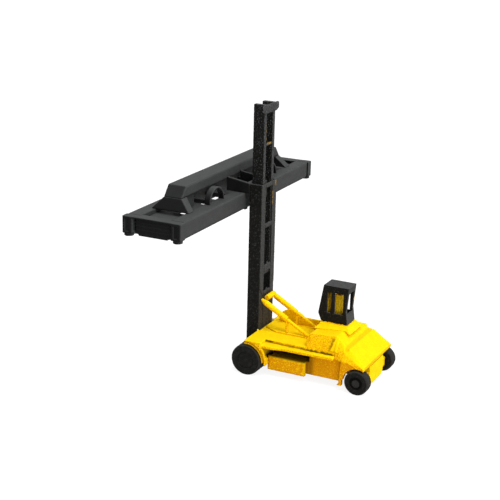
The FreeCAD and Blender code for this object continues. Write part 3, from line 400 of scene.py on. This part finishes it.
def cab_paint(name="cab_paint"):
    """Black paint outside the cab, bare yellow patches inside, a ragged line at its foot;
    painted sheen on faces that look up or back, the shaded yellow below the line.
    """
    paint = bpy.context.scene.handler_paint
    low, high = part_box("cab_shell")
    wall = CAB_WALL * MM
    f = Finish(bpy.data.materials.new(name))
    x, y, z = f.axes()
    inside = (y.over(low.y + wall) * (1.0 - y.over(high.y - wall))
              * x.over(low.x + CAB_REAR * MM) * (1.0 - x.over(high.x - CAB_FRONT_WALL * MM))
              * (1.0 - z.over(high.z - CAB_ROOF * MM)))
    patch = f.ramp(f.noise(CAB_PATCH * MM, 2.0, (1.4, 1.0, 0.6)), 0.40, 0.58)
    ragged = f.noise(CAB_RAGGED * MM, 2.0) * (0.9 * MM) + (low.z - 0.25 * MM)
    foot = 1.0 - (z - ragged).over(0.0)
    grain = f.noise(CAB_GRAIN * MM, 2.0)
    # Painted sheen: faces that look up or back turn grey.
    sheen_facing = f.ramp(f.value_of("pale"), 0.52, 0.85)
    dark = f.mix(sheen_facing * f.ramp(grain, 0.20, 0.55), tuple(paint.black), tuple(paint.dust))
    specks = f.ramp(f.noise(CAB_SPECK * MM, 1.0), 0.62, 0.72) * (1.0 - sheen_facing)
    dark = f.mix(specks * 0.8, dark, CAB_SPECKS)
    worn = f.mix(f.value_of("rub"), dark, CAB_WORN)
    lining = f.mix(patch, LINING_DARK, LINING_BARE)
    # Below the ragged line, the shaded yellow: painted shade.
    colour = f.mix(foot, f.mix(inside, worn, lining), tuple(paint.side_yellow))
    normal = f.bump(f.noise(CAB_FINE * MM, 2.0), 0.026 * MM, 0.9)
    return f.surface(colour, 0.62 + grain * 0.25, normal, 0.10)


def seat_nylon(name="seat_nylon"):
    """Bare yellow inside the cab, darker brown towards the bottom and in patches."""
    paint = bpy.context.scene.handler_paint
    low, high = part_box("cab_seat")
    f = Finish(bpy.data.materials.new(name))
    z = f.axes()[2]
    grain = f.noise(SEAT_GRAIN * MM, 2.0, (1.6, 1.0, 0.5))
    # Darker towards the seat's bottom and in patches.
    darkening = (f.ramp(z, low.z + 3.0 * MM, low.z + 0.8 * MM) * 0.9
             + f.ramp(grain, 0.56, 0.38) * 0.55).least(1.0)
    colour = f.mix(darkening, SEAT_BARE, SEAT_LOW_DARK)
    normal = f.bump(grain, 0.050 * MM, 0.8)
    return f.surface(colour, 0.8, normal, 0.06)


def grey_nylon(name="black_nylon"):
    """Finer dark grey print: faint layer lines, painted sheen on the faces that look up or
    back, painted highlights and glints on the ridges and grain.
    """
    paint = bpy.context.scene.handler_paint
    f = Finish(bpy.data.materials.new(name))
    z = f.axes()[2]
    layers = f.node("ShaderNodeMath", {"operation": "SINE"}, {
        0: z * (6.283 / (GREY_LAYER * MM))})
    grain = f.noise(GREY_GRAIN * MM, 2.0)
    cloud = f.noise(GREY_CLOUD * MM, 2.0, (1, 0.4, 1))
    # Painted sheen on faces that look up or back, painted highlights on the ridges and painted
    # glints, over the grain, cloud and layer tone.
    sheen_facing = f.ramp(f.value_of("pale"), 0.50, 0.85)
    tone = (sheen_facing * 0.62 + f.ramp(grain, 0.40, 0.72) * 0.10 + f.ramp(cloud, 0.35, 0.7) * 0.10
            + f.ramp(f.edge(), 0.15, 0.6) * 0.5 + f.ramp(layers, 0.2, 1.0) * 0.10
            + f.ramp(f.noise(GREY_SPARK * MM, 0.0), 0.70, 0.76) * 0.35).least(1.0)
    colour = f.mix(tone, tuple(paint.grey), GREY_DUST_AND_SHEEN)
    # Painted shade on the faces that look to +y.
    colour = f.mix(f.value_of("dark"), colour, GREY_SHADE)
    normal = f.bump(layers * 0.12 + grain * 0.5, 0.020 * MM, 0.7)
    return f.surface(colour, 0.55 + grain * 0.3, normal, 0.10)


def wheel_black(name="black_wheel"):
    """Dull black of the wheels, dry and dusty; the ring round a hub's cap is darker."""
    paint = bpy.context.scene.handler_paint
    f = Finish(bpy.data.materials.new(name))
    grain = f.noise(TYRE_GRAIN * MM, 3.0)
    dust = f.ramp(f.noise(TYRE_DUST * MM, 2.0), 0.45, 0.75)
    tread = f.value_of("tread")
    dry = (f.ramp(grain, 0.45, 0.8) * 0.4 + dust * 0.2 + tread * 0.45).least(1.0)
    colour = f.mix(dry, tuple(paint.rubber), WHEEL_DUST)
    colour = f.mix(f.value_of("dark"), colour, WHEEL_RING)
    normal = f.bump(grain, 0.025 * MM, 0.8)
    return f.surface(colour, 0.8 + grain * 0.15, normal, 0.08)


MATERIALS = {"yellow_nylon": yellow_nylon, "black_paint": black_paint,
             "black_nylon": grey_nylon, "black_wheel": wheel_black, "cab_paint": cab_paint,
             "seat_nylon": seat_nylon, "upper_paint": upper_paint}


def finish_named(name):
    """The material of that name, made once."""
    return bpy.data.materials.get("print_" + name) or MATERIALS[name]("print_" + name)


# --------------------------------------------------------------- mesh making
def lattice_value(cells, seed):
    """Random value from -1 to 1 for each whole-number lattice point: a hash of x, y and z."""
    c = cells.astype(np.int64)
    h = c[..., 0] * 73856093 ^ c[..., 1] * 19349663 ^ c[..., 2] * 83492791 ^ seed * 2654435761
    h = (h ^ (h >> 13)) * 1274126177 & 0xFFFFFFFF
    h = (h ^ (h >> 16)) * 2246822519 & 0xFFFFFFFF
    return (h / 0xFFFFFFFF) * 2.0 - 1.0


def noise_at(points, size, seed):
    """Value noise: lattice values a size apart, blended by 3t^2 - 2t^3 along each axis."""
    q = points / size
    cell = np.floor(q)
    t = q - cell
    t = t * t * (3.0 - 2.0 * t)
    total = np.zeros(len(points))
    for corner in np.ndindex(2, 2, 2):
        weight = np.prod(np.where(corner, t, 1.0 - t), axis=1)
        total += weight * lattice_value(cell + corner, seed)
    return total


def grain_at(points, size):
    """Two sizes of noise added: lumps of the given size and half as high ones half as wide."""
    return (noise_at(points, size, 11) + 0.5 * noise_at(points, size * 0.5, 23)) / 1.5


def mesh_points(mesh):
    """The mesh's points as rows of x, y, z."""
    flat = np.empty(len(mesh.vertices) * 3)
    mesh.vertices.foreach_get("co", flat)
    return flat.reshape(-1, 3)


def mesh_normals(mesh):
    """The mesh's point normals as rows."""
    flat = np.empty(len(mesh.vertices) * 3)
    mesh.vertex_normals.foreach_get("vector", flat)
    return flat.reshape(-1, 3)


def edge_value(mesh, points, normals, reach):
    """How far each point stands out of its neighbours' mean, along its normal, over reach.

    The value is then averaged half and half with the mean of its neighbours' values.
    """
    ends = np.empty(len(mesh.edges) * 2, np.int32)
    mesh.edges.foreach_get("vertices", ends)
    a, b = ends.reshape(-1, 2).T
    total = np.zeros_like(points)
    count = np.zeros(len(points))
    for one, other in ((a, b), (b, a)):
        np.add.at(total, one, points[other])
        np.add.at(count, one, 1.0)
    mean = total / np.maximum(count, 1.0)[:, None]
    value = ((points - mean) * normals).sum(1) / reach
    spread = np.zeros(len(points))
    np.add.at(spread, a, value[b])
    np.add.at(spread, b, value[a])
    return 0.5 * value + 0.5 * spread / np.maximum(count, 1.0)


def new_piece(name, mesh, body, material, replaced):
    """Links a mesh as a piece: its body, slot, material and the nodes it stands for."""
    piece = bpy.data.objects.new(name, mesh)
    bpy.context.scene.collection.objects.link(piece)
    mesh.materials.clear()
    mesh.materials.append(finish_named(material))
    mesh.shade_smooth()
    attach(piece, body)
    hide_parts(*replaced)
    return piece


def remeshed(node, voxel, softening):
    """A fine even skin on a node's solid, laid back onto its faces, edges a little soft."""
    source = bpy.data.objects.new("source", frame["nodes"][node].data.copy())
    bpy.context.scene.collection.objects.link(source)
    shell = bmesh.new()
    shell.from_mesh(source.data)
    bmesh.ops.remove_doubles(shell, verts=shell.verts, dist=0.001 * MM)
    shell.to_mesh(source.data)
    shell.free()
    skin = bpy.data.objects.new("skin", source.data.copy())
    bpy.context.scene.collection.objects.link(skin)
    remesh = skin.modifiers.new("remesh", "REMESH")
    remesh.mode = "VOXEL"
    remesh.voxel_size = voxel
    wrap = skin.modifiers.new("wrap", "SHRINKWRAP")
    wrap.target = source
    wrap.wrap_method = "NEAREST_SURFACEPOINT"
    if softening:
        smooth = skin.modifiers.new("smooth", "SMOOTH")
        smooth.factor = 0.5
        smooth.iterations = softening
    bpy.context.view_layer.update()
    evaluated = skin.evaluated_get(bpy.context.evaluated_depsgraph_get())
    mesh = bpy.data.meshes.new_from_object(evaluated)
    for made in (skin, source):
        data = made.data
        bpy.data.objects.remove(made)
        bpy.data.meshes.remove(data)
    return mesh


def from_node(node, corner):
    """A corner of the node's box in mm: each axis 0 for its low side, 1 for its high side."""
    low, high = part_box(node)
    return np.array([(high if k else low)[axis] for axis, k in enumerate(corner)]) / MM


def on_line(points, a, b, width, seed):
    """1 on the line from a to b (mm), 0 beyond a ragged width: 1 - distance / width."""
    a, b = np.array(a) * MM, np.array(b) * MM
    along = np.clip((points - a) @ (b - a) / ((b - a) @ (b - a)), 0.0, 1.0)
    distance = np.linalg.norm(points - a - along[:, None] * (b - a), axis=1)
    ragged = width * MM * (1.0 + 0.7 * noise_at(points, 0.55 * MM, seed))
    return np.clip(1.6 * (1.0 - distance / ragged), 0.0, 1.0)


def in_block(points, low, high, soft):
    """1 inside the block from low to high (mm), falling to 0 over soft mm past each side."""
    below = (points / MM - np.array(low)) / soft + 1.0
    above = (np.array(high) - points / MM) / soft + 1.0
    return np.clip(np.minimum(below, above), 0.0, 1.0).min(1)


def hull_shade(points):
    """Painted shadow and shade on the hull, 0 to 1.

    The hollow over the tank, behind it and at its ends; the groove along the deck's edge,
    in three stretches; and a faint line up the hood's rear corner.
    """
    rear, front = from_node("tank_left", (0, 1, 1))[0], from_node("tank_left", (1, 1, 1))[0]
    top = from_node("tank_left", (1, 1, 1))[2]
    nose, tail = from_node("hood", (1, 1, 0))[0], from_node("hood", (0, 1, 0))[0]
    deck = from_node("centre_panel", (0, 0, 0))[2]
    roof = deck - 1.7                       # the walkway's underside
    low_z, high_z = deck - RISER * 0.9, deck - RISER * 0.45

    def groove(x0, x1, z, width, seed):
        return on_line(points, (x0, DECK_Y, z), (x1, DECK_Y, z), width, seed)

    corner = on_line(points, (tail + 1.7, DECK_Y, deck + 0.3),
                     (tail + 1.0, DECK_Y - 1.1, deck + 2.9), 0.60, 6)
    # Painted shadow in the hollow over the tank and at its front end, painted shade on the wall
    # behind it, painted shadow in the groove under the deck's edge and painted shade in the
    # fold at the hood's rear corner.
    marks = [
        in_block(points, (rear - 0.6, 0.0, top + 0.05), (front + 0.2, RECESS_Y, roof), 0.45),
        in_block(points, (front - 0.1, 0.0, 3.6), (front + 0.45, RECESS_Y - 0.2, roof), 0.35),
        0.55 * in_block(points, (rear - 1.3, 0.0, 2.0), (rear, DECK_Y - 0.05, roof), 1.2),
        groove(RISER_FRONT, RISER_FRONT - 2.0, high_z, 0.42, 3),
        0.60 * groove(RISER_FRONT, nose, low_z, 0.48, 4),
        0.85 * groove(nose + 1.0, tail + 0.6, low_z, 0.46, 5),
        0.55 * corner * (1.0 - corner_band(points)),
    ]
    return np.clip(np.max(marks, axis=0), 0.0, 1.0)


def corner_band(points):
    """1 on the raised front corner of the counterweight, whose edge leans forward downwards."""
    tail = from_node("hood", (0, 1, 0))[0]
    z = from_node("centre_panel", (0, 0, 0))[2]
    p = points / MM
    front = tail + 0.6 + 0.33 * (z + 3.05 - p[:, 2])
    inside = np.minimum((front - p[:, 0]) / 0.15, (p[:, 0] - tail + 0.9) / 0.35)
    inside = np.minimum(inside, np.minimum((p[:, 1] - 7.3) / 0.2, (p[:, 2] - z - 0.1) / 0.2))
    return np.clip(inside, 0.0, 1.0)


def step_band(points):
    """1 on the shallow step across the counterweight, between its steep part and its slope."""
    high = from_node("hood", (0, 1, 0))[0] - 2.5
    x, _, z = points.T / MM
    top = from_node("centre_panel", (0, 0, 0))[2] + 0.9
    inside = np.minimum((high + 0.05 - x) / 0.25, (x - high + 1.25) / 0.25)
    return np.clip(np.minimum(inside, (z - top) / 0.3), 0.0, 1.0)


def mast_rubs(points):
    """Where the paint has rubbed through on the mast and the cab, 0 to 1."""
    return np.max([on_line(points, a, b, width, 31 + k)
                   for k, (a, b, width) in enumerate(RUBS)], axis=0)


def skin_values(node, points, normals, band, step):
    """What the finishes read at each point: pale, low, dark and rub, 0 to 1.

    pale is painted light, rising with how far a face looks up and back; low is painted shade on
    the hull's upright faces near the ground; dark is painted shadow and shade; rub is bare
    nylon.
    """
    hull = SLOT_OF[node] == "yellow_nylon"
    # Painted light by facing, full on the counterweight's raised corner, more on the lit
    # pieces.
    pale = np.clip(0.30 + 0.75 * normals @ np.array(UPWARD_REAR), 0.0, 1.0)
    pale = np.clip(np.maximum(pale, band) + LIT_PIECES.get(node, 0.0), 0.0, 1.0)
    # Painted shade on upright hull faces below the walkway, on the counterweight's step and on
    # the shaded pieces.
    under = np.clip((UNDER_SHADE_Z * MM - points[:, 2]) / (UNDER_SHADE_BLEND * MM), 0.0, 1.0)
    low = hull * np.maximum(under * np.clip(1.7 - 2.0 * pale, 0.0, 1.0), 0.30 * step)
    low = np.maximum(low, SHADED_PIECES.get(node, 0.0) * (normals[:, 2] < 0.9))
    dark = rub = np.zeros(len(points))
    if hull:
        dark = hull_shade(points)
    else:
        rub = mast_rubs(points)
    if SLOT_OF[node] == "black_nylon":
        # Painted shade on grey faces that look to +y.
        dark = 0.80 * np.clip(1.5 * normals[:, 1] - 0.4, 0.0, 1.0)
    return {"pale": pale, "low": low, "dark": dark, "rub": rub}


def printed_skin(node, voxel, height, material=None, softening=None):
    """Skin of one node: its points move along their normals by height times the grain."""
    look = bpy.context.scene.handler_print
    mesh = remeshed(node, voxel, look.softening if softening is None else softening)
    mesh.name = "print_" + node
    points, normals = mesh_points(mesh), mesh_normals(mesh)
    value = edge_value(mesh, points, normals, voxel)
    hull = SLOT_OF[node] == "yellow_nylon"
    band, step = (corner_band(points), step_band(points)) if hull else (0.0, 0.0)
    lift = height * grain_at(points, look.grain_size)
    lift = lift + (BAND_LIFT * band - STEP_DROP * step) * MM
    low, high = (np.array(v) for v in CAD_BOX)
    moved = np.clip(points + normals * lift[:, None], low, high)
    mesh.vertices.foreach_set("co", moved.ravel())
    values = {"edge": value, **skin_values(node, points, normals, band, step)}
    for key, row in values.items():
        attribute = mesh.attributes.new(key, "FLOAT", "POINT")
        attribute.data.foreach_set("value", row.astype(np.float32))
    mesh.update()
    slot = SLOT_OF[node]
    return new_piece("print_" + node, mesh, BODY_OF[node], material or slot, [node])


def turned(name, profile, centre, steps, wobble):
    """Closed surface turned about the Y axis through centre.

    profile gives (radius, y) rows; a point is centre + radius * (sin a, 0, cos a)
    + (0, y, 0) for a full turn of a.  Radii move by wobble times noise.
    """
    turn = np.linspace(0, 2 * np.pi, steps, endpoint=False)
    radius, along = np.asarray(profile, float).T
    x = radius[:, None] * np.sin(turn)
    z = radius[:, None] * np.cos(turn)
    y = np.repeat(along[:, None], steps, axis=1)
    points = np.stack([x, y, z], -1).reshape(-1, 3) + np.array(centre)
    away = (points - np.array(centre)) * np.array([1.0, 0.0, 1.0])
    length = np.linalg.norm(away, axis=1, keepdims=True)
    lift = (wobble * grain_at(points, WHEEL_GRAIN * MM))[:, None] * (length > ON_AXIS)
    points += away / np.maximum(length, ON_AXIS) * lift
    rows, columns = len(radius), steps
    r, c = np.meshgrid(np.arange(rows - 1), np.arange(columns), indexing="ij")
    n = (c + 1) % columns
    quads = np.stack([r * columns + c, r * columns + n, (r + 1) * columns + n,
                      (r + 1) * columns + c], -1).reshape(-1, 4)
    mesh = bpy.data.meshes.new(name)
    mesh.from_pydata(points.tolist(), [], quads.tolist())
    shell = bmesh.new()
    shell.from_mesh(mesh)
    bmesh.ops.remove_doubles(shell, verts=shell.verts, dist=0.0005 * MM)
    bmesh.ops.recalc_face_normals(shell, faces=shell.faces)
    shell.to_mesh(mesh)
    shell.free()
    return mesh


def rounded_run(corners, radius, steps=5):
    """A profile through the corners, each inner corner replaced by a quarter-like blend.

    At a corner p between neighbours a and b the blend is the curve
    (1-t)^2 q0 + 2 t (1-t) p + t^2 q1, with q0 and q1 a radius away from p.
    """
    out = [np.array(corners[0], float)]
    t = np.linspace(0, 1, steps)[:, None]
    for a, p, b in zip(corners[:-2], corners[1:-1], corners[2:]):
        a, p, b = (np.array(v, float) for v in (a, p, b))
        reach = min(radius, 0.45 * np.linalg.norm(a - p), 0.45 * np.linalg.norm(b - p))
        q0 = p + (a - p) / np.linalg.norm(a - p) * reach
        q1 = p + (b - p) / np.linalg.norm(b - p) * reach
        out.extend((1 - t) ** 2 * q0 + 2 * t * (1 - t) * p + t ** 2 * q1)
    out.append(np.array(corners[-1], float))
    return densified(np.array(out), 0.22 * MM)


def densified(line, step):
    """The same line with points at most a step apart."""
    parts = [line[:1]]
    for a, b in zip(line[:-1], line[1:]):
        count = max(1, int(np.ceil(np.linalg.norm(b - a) / step)))
        share = np.linspace(0, 1, count + 1)[1:, None]
        parts.append(a + (b - a) * share)
    return np.concatenate(parts)


# ---------------------------------------------------------------- operators
class HANDLER_OT_hull(bpy.types.Operator):
    """Skins of the floor, fenders, guards, tanks and the frame under them"""
    bl_idname = "handler.hull"
    bl_label = "Hull"

    def execute(self, context):
        look = context.scene.handler_print
        for node in ("deck", "centre_panel", "fender_side_left", "fender_side_right",
                     "mudguard_left", "mudguard_right"):
            printed_skin(node, look.voxel, look.grain_height)
        for node in ("tank_left", "tank_right"):
            printed_skin(node, look.voxel, look.grain_height, softening=12)
        for node in ("side_wall_left", "side_wall_right"):
            printed_skin(node, 1.2 * look.voxel, look.grain_height)
        printed_skin("chassis_frame", look.hidden_voxel, look.grain_height)
        return {"FINISHED"}


class HANDLER_OT_rear(bpy.types.Operator):
    """Skins of the hood, the long box, the counterweight and what hangs under it"""
    bl_idname = "handler.rear"
    bl_label = "Hood and counterweight"

    def execute(self, context):
        look = context.scene.handler_print
        for node in ("hood", "side_box", "counterweight", "rear_guard_left",
                     "rear_guard_right", "rear_box"):
            printed_skin(node, look.voxel, look.grain_height)
        return {"FINISHED"}


class HANDLER_OT_cab(bpy.types.Operator):
    """Skins of the cab, its pedestal and the seat inside"""
    bl_idname = "handler.cab"
    bl_label = "Cab"

    def execute(self, context):
        look = context.scene.handler_print
        printed_skin("cab_shell", look.fine_voxel, 0.7 * look.grain_height, "cab_paint")
        foot = printed_skin("cab_pedestal", look.fine_voxel, look.grain_height)
        self.flare(foot.data, FOOT_FLARE * MM)
        printed_skin("cab_seat", look.fine_voxel, look.grain_height, "seat_nylon")
        return {"FINISHED"}

    def flare(self, mesh, reach):
        """Spreads the skin's foot: outwards by reach * (1 - h)^2, h from 0 at the foot to 1."""
        points = mesh_points(mesh)
        low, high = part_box("cab_pedestal")
        h = np.clip((points[:, 2] - low.z - 0.1 * MM) / (high.z - low.z - 0.1 * MM), 0.0, 1.0)
        middle = np.array([(low.x + high.x) / 2, 0.0])
        half = np.array([(high.x - low.x) / 2, high.y])
        share = (points[:, :2] - middle) / half
        points[:, :2] += reach * ((1.0 - h) ** 2)[:, None] * share
        mesh.vertices.foreach_set("co", points.ravel())
        mesh.update()


class HANDLER_OT_axles(bpy.types.Operator):
    """Skins of the two axle beams"""
    bl_idname = "handler.axles"
    bl_label = "Axles"

    def execute(self, context):
        look = context.scene.handler_print
        for node in ("front_axle", "rear_axle"):
            printed_skin(node, look.hidden_voxel, look.grain_height)
        return {"FINISHED"}


class HANDLER_OT_mast(bpy.types.Operator):
    """Skins of both mast stages, their bars, the crosshead and the tilt cylinders"""
    bl_idname = "handler.mast"
    bl_label = "Mast"

    def execute(self, context):
        look = context.scene.handler_print
        for node in ("outer_upright_left", "outer_upright_right", "outer_crossbars"):
            printed_skin(node, look.voxel, look.grain_height)
        for node in ("inner_upright_left", "inner_upright_right", "inner_crossbars",
                     "crosshead"):
            printed_skin(node, look.voxel, look.grain_height, "upper_paint")
        for node in ("tilt_cylinder_left", "tilt_cylinder_right"):
            printed_skin(node, look.fine_voxel, look.grain_height)
        return {"FINISHED"}


class HANDLER_OT_spreader(bpy.types.Operator):
    """Skins of the carriage and the spreader it carries"""
    bl_idname = "handler.spreader"
    bl_label = "Carriage and spreader"

    def execute(self, context):
        look = context.scene.handler_print
        for node in ("rail_front", "rail_rear", "cross_members", "central_beam"):
            printed_skin(node, 1.55 * look.voxel, look.smooth_grain)
        for node in ("spreader_end_left", "spreader_end_right", "end_plate_left",
                     "end_plate_right", "saddle_left", "saddle_right", "beam_box_left",
                     "beam_box_right", "beam_arch_left", "beam_arch_right", "carriage_plate",
                     "carriage_arm_left", "carriage_arm_right", "twistlocks"):
            printed_skin(node, look.voxel, look.smooth_grain)
        return {"FINISHED"}


class HANDLER_OT_wheels(bpy.types.Operator):
    """Turned tyres and hubs, front pairs and rear singles"""
    bl_idname = "handler.wheels"
    bl_label = "Wheels"

    def execute(self, context):
        for side, away in (("left", 1), ("right", -1)):
            for node in (f"front_tyre_outer_{side}", f"front_tyre_inner_{side}"):
                self.tyre(node, f"front_hub_{side}")
            self.tyre(f"rear_tyre_{side}", f"rear_hub_{side}")
            self.hub(f"front_hub_{side}", away, 0.60, 0.0, 0.0)
            self.hub(f"rear_hub_{side}", away, 0.75, 1.10, 0.33)
        return {"FINISHED"}

    def place(self, node):
        """Middle of the node on its axis, its radius and its two ends along Y."""
        low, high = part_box(node)
        return ((low.x + high.x) / 2, 0.0, (low.z + high.z) / 2), \
            (high.z - low.z) / 2, low.y, high.y

    def shade(self, mesh, centre, key, rule):
        """Gives each point the value that the rule makes of its radius and its y."""
        points = mesh_points(mesh)
        radius = np.hypot(points[:, 0] - centre[0], points[:, 2] - centre[2])
        attribute = mesh.attributes.new(key, "FLOAT", "POINT")
        attribute.data.foreach_set("value", rule(radius, points[:, 1]).astype(np.float32))

    def tyre(self, node, hub):
        """A ring from the hub's radius out, its shoulders rounded."""
        centre, radius, y0, y1 = self.place(node)
        bore = self.place(hub)[1]
        corners = [(bore, y0), (radius, y0), (radius, y1), (bore, y1)]
        line = rounded_run(corners, TYRE_SHOULDER * MM)
        line = np.concatenate([line, line[:1]])
        mesh = turned("wheel_" + node, line, centre, TYRE_TURN, TYRE_WOBBLE * MM)
        self.shade(mesh, centre, "tread", lambda r, y: (r > radius - TREAD_DEPTH * MM) * 1.0)
        new_piece("wheel_" + node, mesh, BODY_OF[node], SLOT_OF[node], [node])

    def hub(self, node, away, cover, cap, cap_out):
        """A disc with a blind bore for the stub; cap is the radius of its raised centre."""
        centre, radius, y0, y1 = self.place(node)
        inner, outer = (y0, y1) if away > 0 else (y1, y0)
        face = outer - away * cap_out * MM
        bore = STUB_BORE * MM
        end = outer - away * (cover + (0.15 if cap else 0.0)) * MM
        corners = [(0.0, end), (bore, end), (bore, inner), (radius, inner), (radius, face)]
        if cap:
            corners += [(cap * MM, face), (cap * MM, outer)]
        corners.append((0.0, outer))
        line = rounded_run(corners, HUB_ROUND * MM, 3)
        mesh = turned("wheel_" + node, line, centre, HUB_TURN, HUB_WOBBLE * MM)

        def ring(r, y):
            inside = np.minimum(r / MM - cap, cap + HUB_RING - r / MM) / 0.12 + 1.0
            return np.clip(inside, 0.0, 1.0) * (away * (y - face) > -0.2 * MM)

        def pale_cap(r, y):
            inside = np.clip((cap - 0.05 - r / MM) / 0.1, 0.0, 1.0)
            return 0.8 * inside * (away * (y - face) > 0.1 * MM)

        if cap:
            self.shade(mesh, centre, "dark", ring)
            self.shade(mesh, centre, "tread", pale_cap)
        new_piece("wheel_" + node, mesh, BODY_OF[node], SLOT_OF[node], [node])


class HANDLER_OT_stage(bpy.types.Operator):
    """Floor, lamps, sky and camera"""
    bl_idname = "handler.stage"
    bl_label = "Stage"

    def execute(self, context):
        stage = context.scene.handler_stage
        self.floor(context, stage)
        middle = (CAD_BOX[0] + CAD_BOX[1]) / 2
        self.lamp("key", Vector(KEY_PLACE), middle, stage.key_power)
        self.lamp("fill", Vector(FILL_PLACE), middle, stage.fill_power)
        self.sky(context, stage)
        self.camera(context, stage)
        context.scene.view_settings.view_transform = "Standard"
        return {"FINISHED"}

    def floor(self, context, stage):
        """A flat sheet, z = 0, far larger than the model; white where no shadow falls."""
        t = np.linspace(-FLOOR_REACH, FLOOR_REACH, FLOOR_ROWS)
        x, y = np.meshgrid(t, t, indexing="ij")
        points = np.stack([x, y, np.zeros_like(x)], -1).reshape(-1, 3)
        count = np.arange(FLOOR_ROWS - 1)
        r, c = np.meshgrid(count, count, indexing="ij")
        first = r * FLOOR_ROWS + c
        quads = np.stack([first, first + FLOOR_ROWS, first + FLOOR_ROWS + 1, first + 1],
                         -1).reshape(-1, 4)
        mesh = bpy.data.meshes.new("floor")
        mesh.from_pydata(points.tolist(), [], quads.tolist())
        piece = bpy.data.objects.new("floor", mesh)
        context.scene.collection.objects.link(piece)
        f = Finish(bpy.data.materials.new("floor_card"))
        rays = f.node("ShaderNodeLightPath", {}, {}, "Is Camera Ray")
        card = f.node("ShaderNodeBsdfPrincipled", {}, {
            "Base Color": (*stage.floor_colour, 1.0), "Roughness": 0.9,
            "Specular IOR Level": 0.0})
        pale = f.node("ShaderNodeBsdfPrincipled", {}, {
            "Base Color": (FLOOR_PAPER, FLOOR_PAPER, FLOOR_PAPER, 1.0), "Roughness": 0.9,
            "Specular IOR Level": 0.0})
        glow = f.node("ShaderNodeEmission", {}, {"Color": (1, 1, 1, 1), "Strength": FLOOR_GLOW})
        seen = f.node("ShaderNodeAddShader", {}, {0: pale, 1: glow})
        both = f.node("ShaderNodeMixShader", {}, {0: rays, 1: card, 2: seen})
        f.node("ShaderNodeOutputMaterial", {}, {"Surface": both})
        mesh.materials.append(f.owner)

    def lamp(self, name, place, target, power):
        """A square soft lamp that faces the target."""
        data = bpy.data.lights.new(name, "AREA")
        data.size = LAMP_SIZE
        data.energy = power
        lamp = bpy.data.objects.new(name, data)
        lamp.location = place
        lamp.rotation_euler = (target - place).to_track_quat("-Z", "Y").to_euler()
        bpy.context.scene.collection.objects.link(lamp)

    def sky(self, context, stage):
        """Even light from all round, white to the camera and in reflections."""
        world = bpy.data.worlds.new("studio")
        context.scene.world = world
        f = Finish(world)
        rays = f.node("ShaderNodeLightPath", {}, {}, "Is Camera Ray")
        through = (Socket(f, rays.link.node.outputs["Is Transmission Ray"])
                   + Socket(f, rays.link.node.outputs["Is Glossy Ray"]))
        heading = f.node("ShaderNodeTexCoord", {}, {}, "Generated")
        split = f.node("ShaderNodeSeparateXYZ", {}, {"Vector": heading}, "Y")
        backdrop = f.ramp(split, 0.35, -0.25)
        level = backdrop * (stage.backdrop - stage.sky) + stage.sky
        room = f.node("ShaderNodeBackground", {}, {"Color": (1, 1, 1, 1), "Strength": level})
        white = f.node("ShaderNodeBackground", {}, {"Color": (1, 1, 1, 1), "Strength": 1.0})
        shown = f.node("ShaderNodeMixShader", {}, {0: (rays + through).least(1.0), 1: room,
                                                   2: white})
        f.node("ShaderNodeOutputWorld", {}, {"Surface": shown})

    def camera(self, context, stage):
        """Looks at the model from behind its left side.

        back = (sin a cos e, -cos a cos e, sin e); right and up are turned about it by the roll.
        """
        a, e, r = stage.azimuth, stage.elevation, stage.roll
        back = Vector((np.sin(a) * np.cos(e), -np.cos(a) * np.cos(e), np.sin(e)))
        right = (-back).cross(Vector((0, 0, 1))).normalized()
        up = right.cross(-back)
        turned_right = np.cos(r) * right + np.sin(r) * up
        turned_up = -np.sin(r) * right + np.cos(r) * up
        data = bpy.data.cameras.new("camera")
        data.lens = stage.lens
        data.sensor_width = 36.0
        data.clip_start = 0.01
        camera = bpy.data.objects.new("camera", data)
        turn = Matrix((turned_right, turned_up, back)).transposed()
        camera.matrix_world = Matrix.Translation(Vector(stage.place)) @ turn.to_4x4()
        context.scene.collection.objects.link(camera)
        context.scene.camera = camera


class HANDLER_PT_panel(bpy.types.Panel):
    """Sizes, colours and one button for each group of pieces."""
    bl_idname = "HANDLER_PT_panel"
    bl_label = "Container handler"
    bl_space_type = "VIEW_3D"
    bl_region_type = "UI"
    bl_category = "Handler"

    def draw(self, context):
        for group in (context.scene.handler_print, context.scene.handler_paint,
                      context.scene.handler_stage):
            column = self.layout.column(align=True)
            for key in group.__annotations__:
                column.prop(group, key)
        for operator in OPERATORS:
            self.layout.operator(operator.bl_idname)


OPERATORS = (HANDLER_OT_hull, HANDLER_OT_rear, HANDLER_OT_cab, HANDLER_OT_axles,
             HANDLER_OT_mast, HANDLER_OT_spreader, HANDLER_OT_wheels, HANDLER_OT_stage)
CLASSES = (PrintSettings, PaintSettings, StageSettings, *OPERATORS, HANDLER_PT_panel)


def register():
    for each in CLASSES:
        bpy.utils.register_class(each)
    bpy.types.Scene.handler_print = bpy.props.PointerProperty(type=PrintSettings)
    bpy.types.Scene.handler_paint = bpy.props.PointerProperty(type=PaintSettings)
    bpy.types.Scene.handler_stage = bpy.props.PointerProperty(type=StageSettings)


def unregister():
    for key in ("handler_print", "handler_paint", "handler_stage"):
        delattr(bpy.types.Scene, key)
    for each in reversed(CLASSES):
        bpy.utils.unregister_class(each)


def main():
    register()
    bpy.ops.handler.hull()
    bpy.ops.handler.rear()
    bpy.ops.handler.cab()
    bpy.ops.handler.axles()
    bpy.ops.handler.mast()
    bpy.ops.handler.spreader()
    bpy.ops.handler.wheels()
    bpy.ops.handler.stage()


if __name__ == "__main__":
    main()
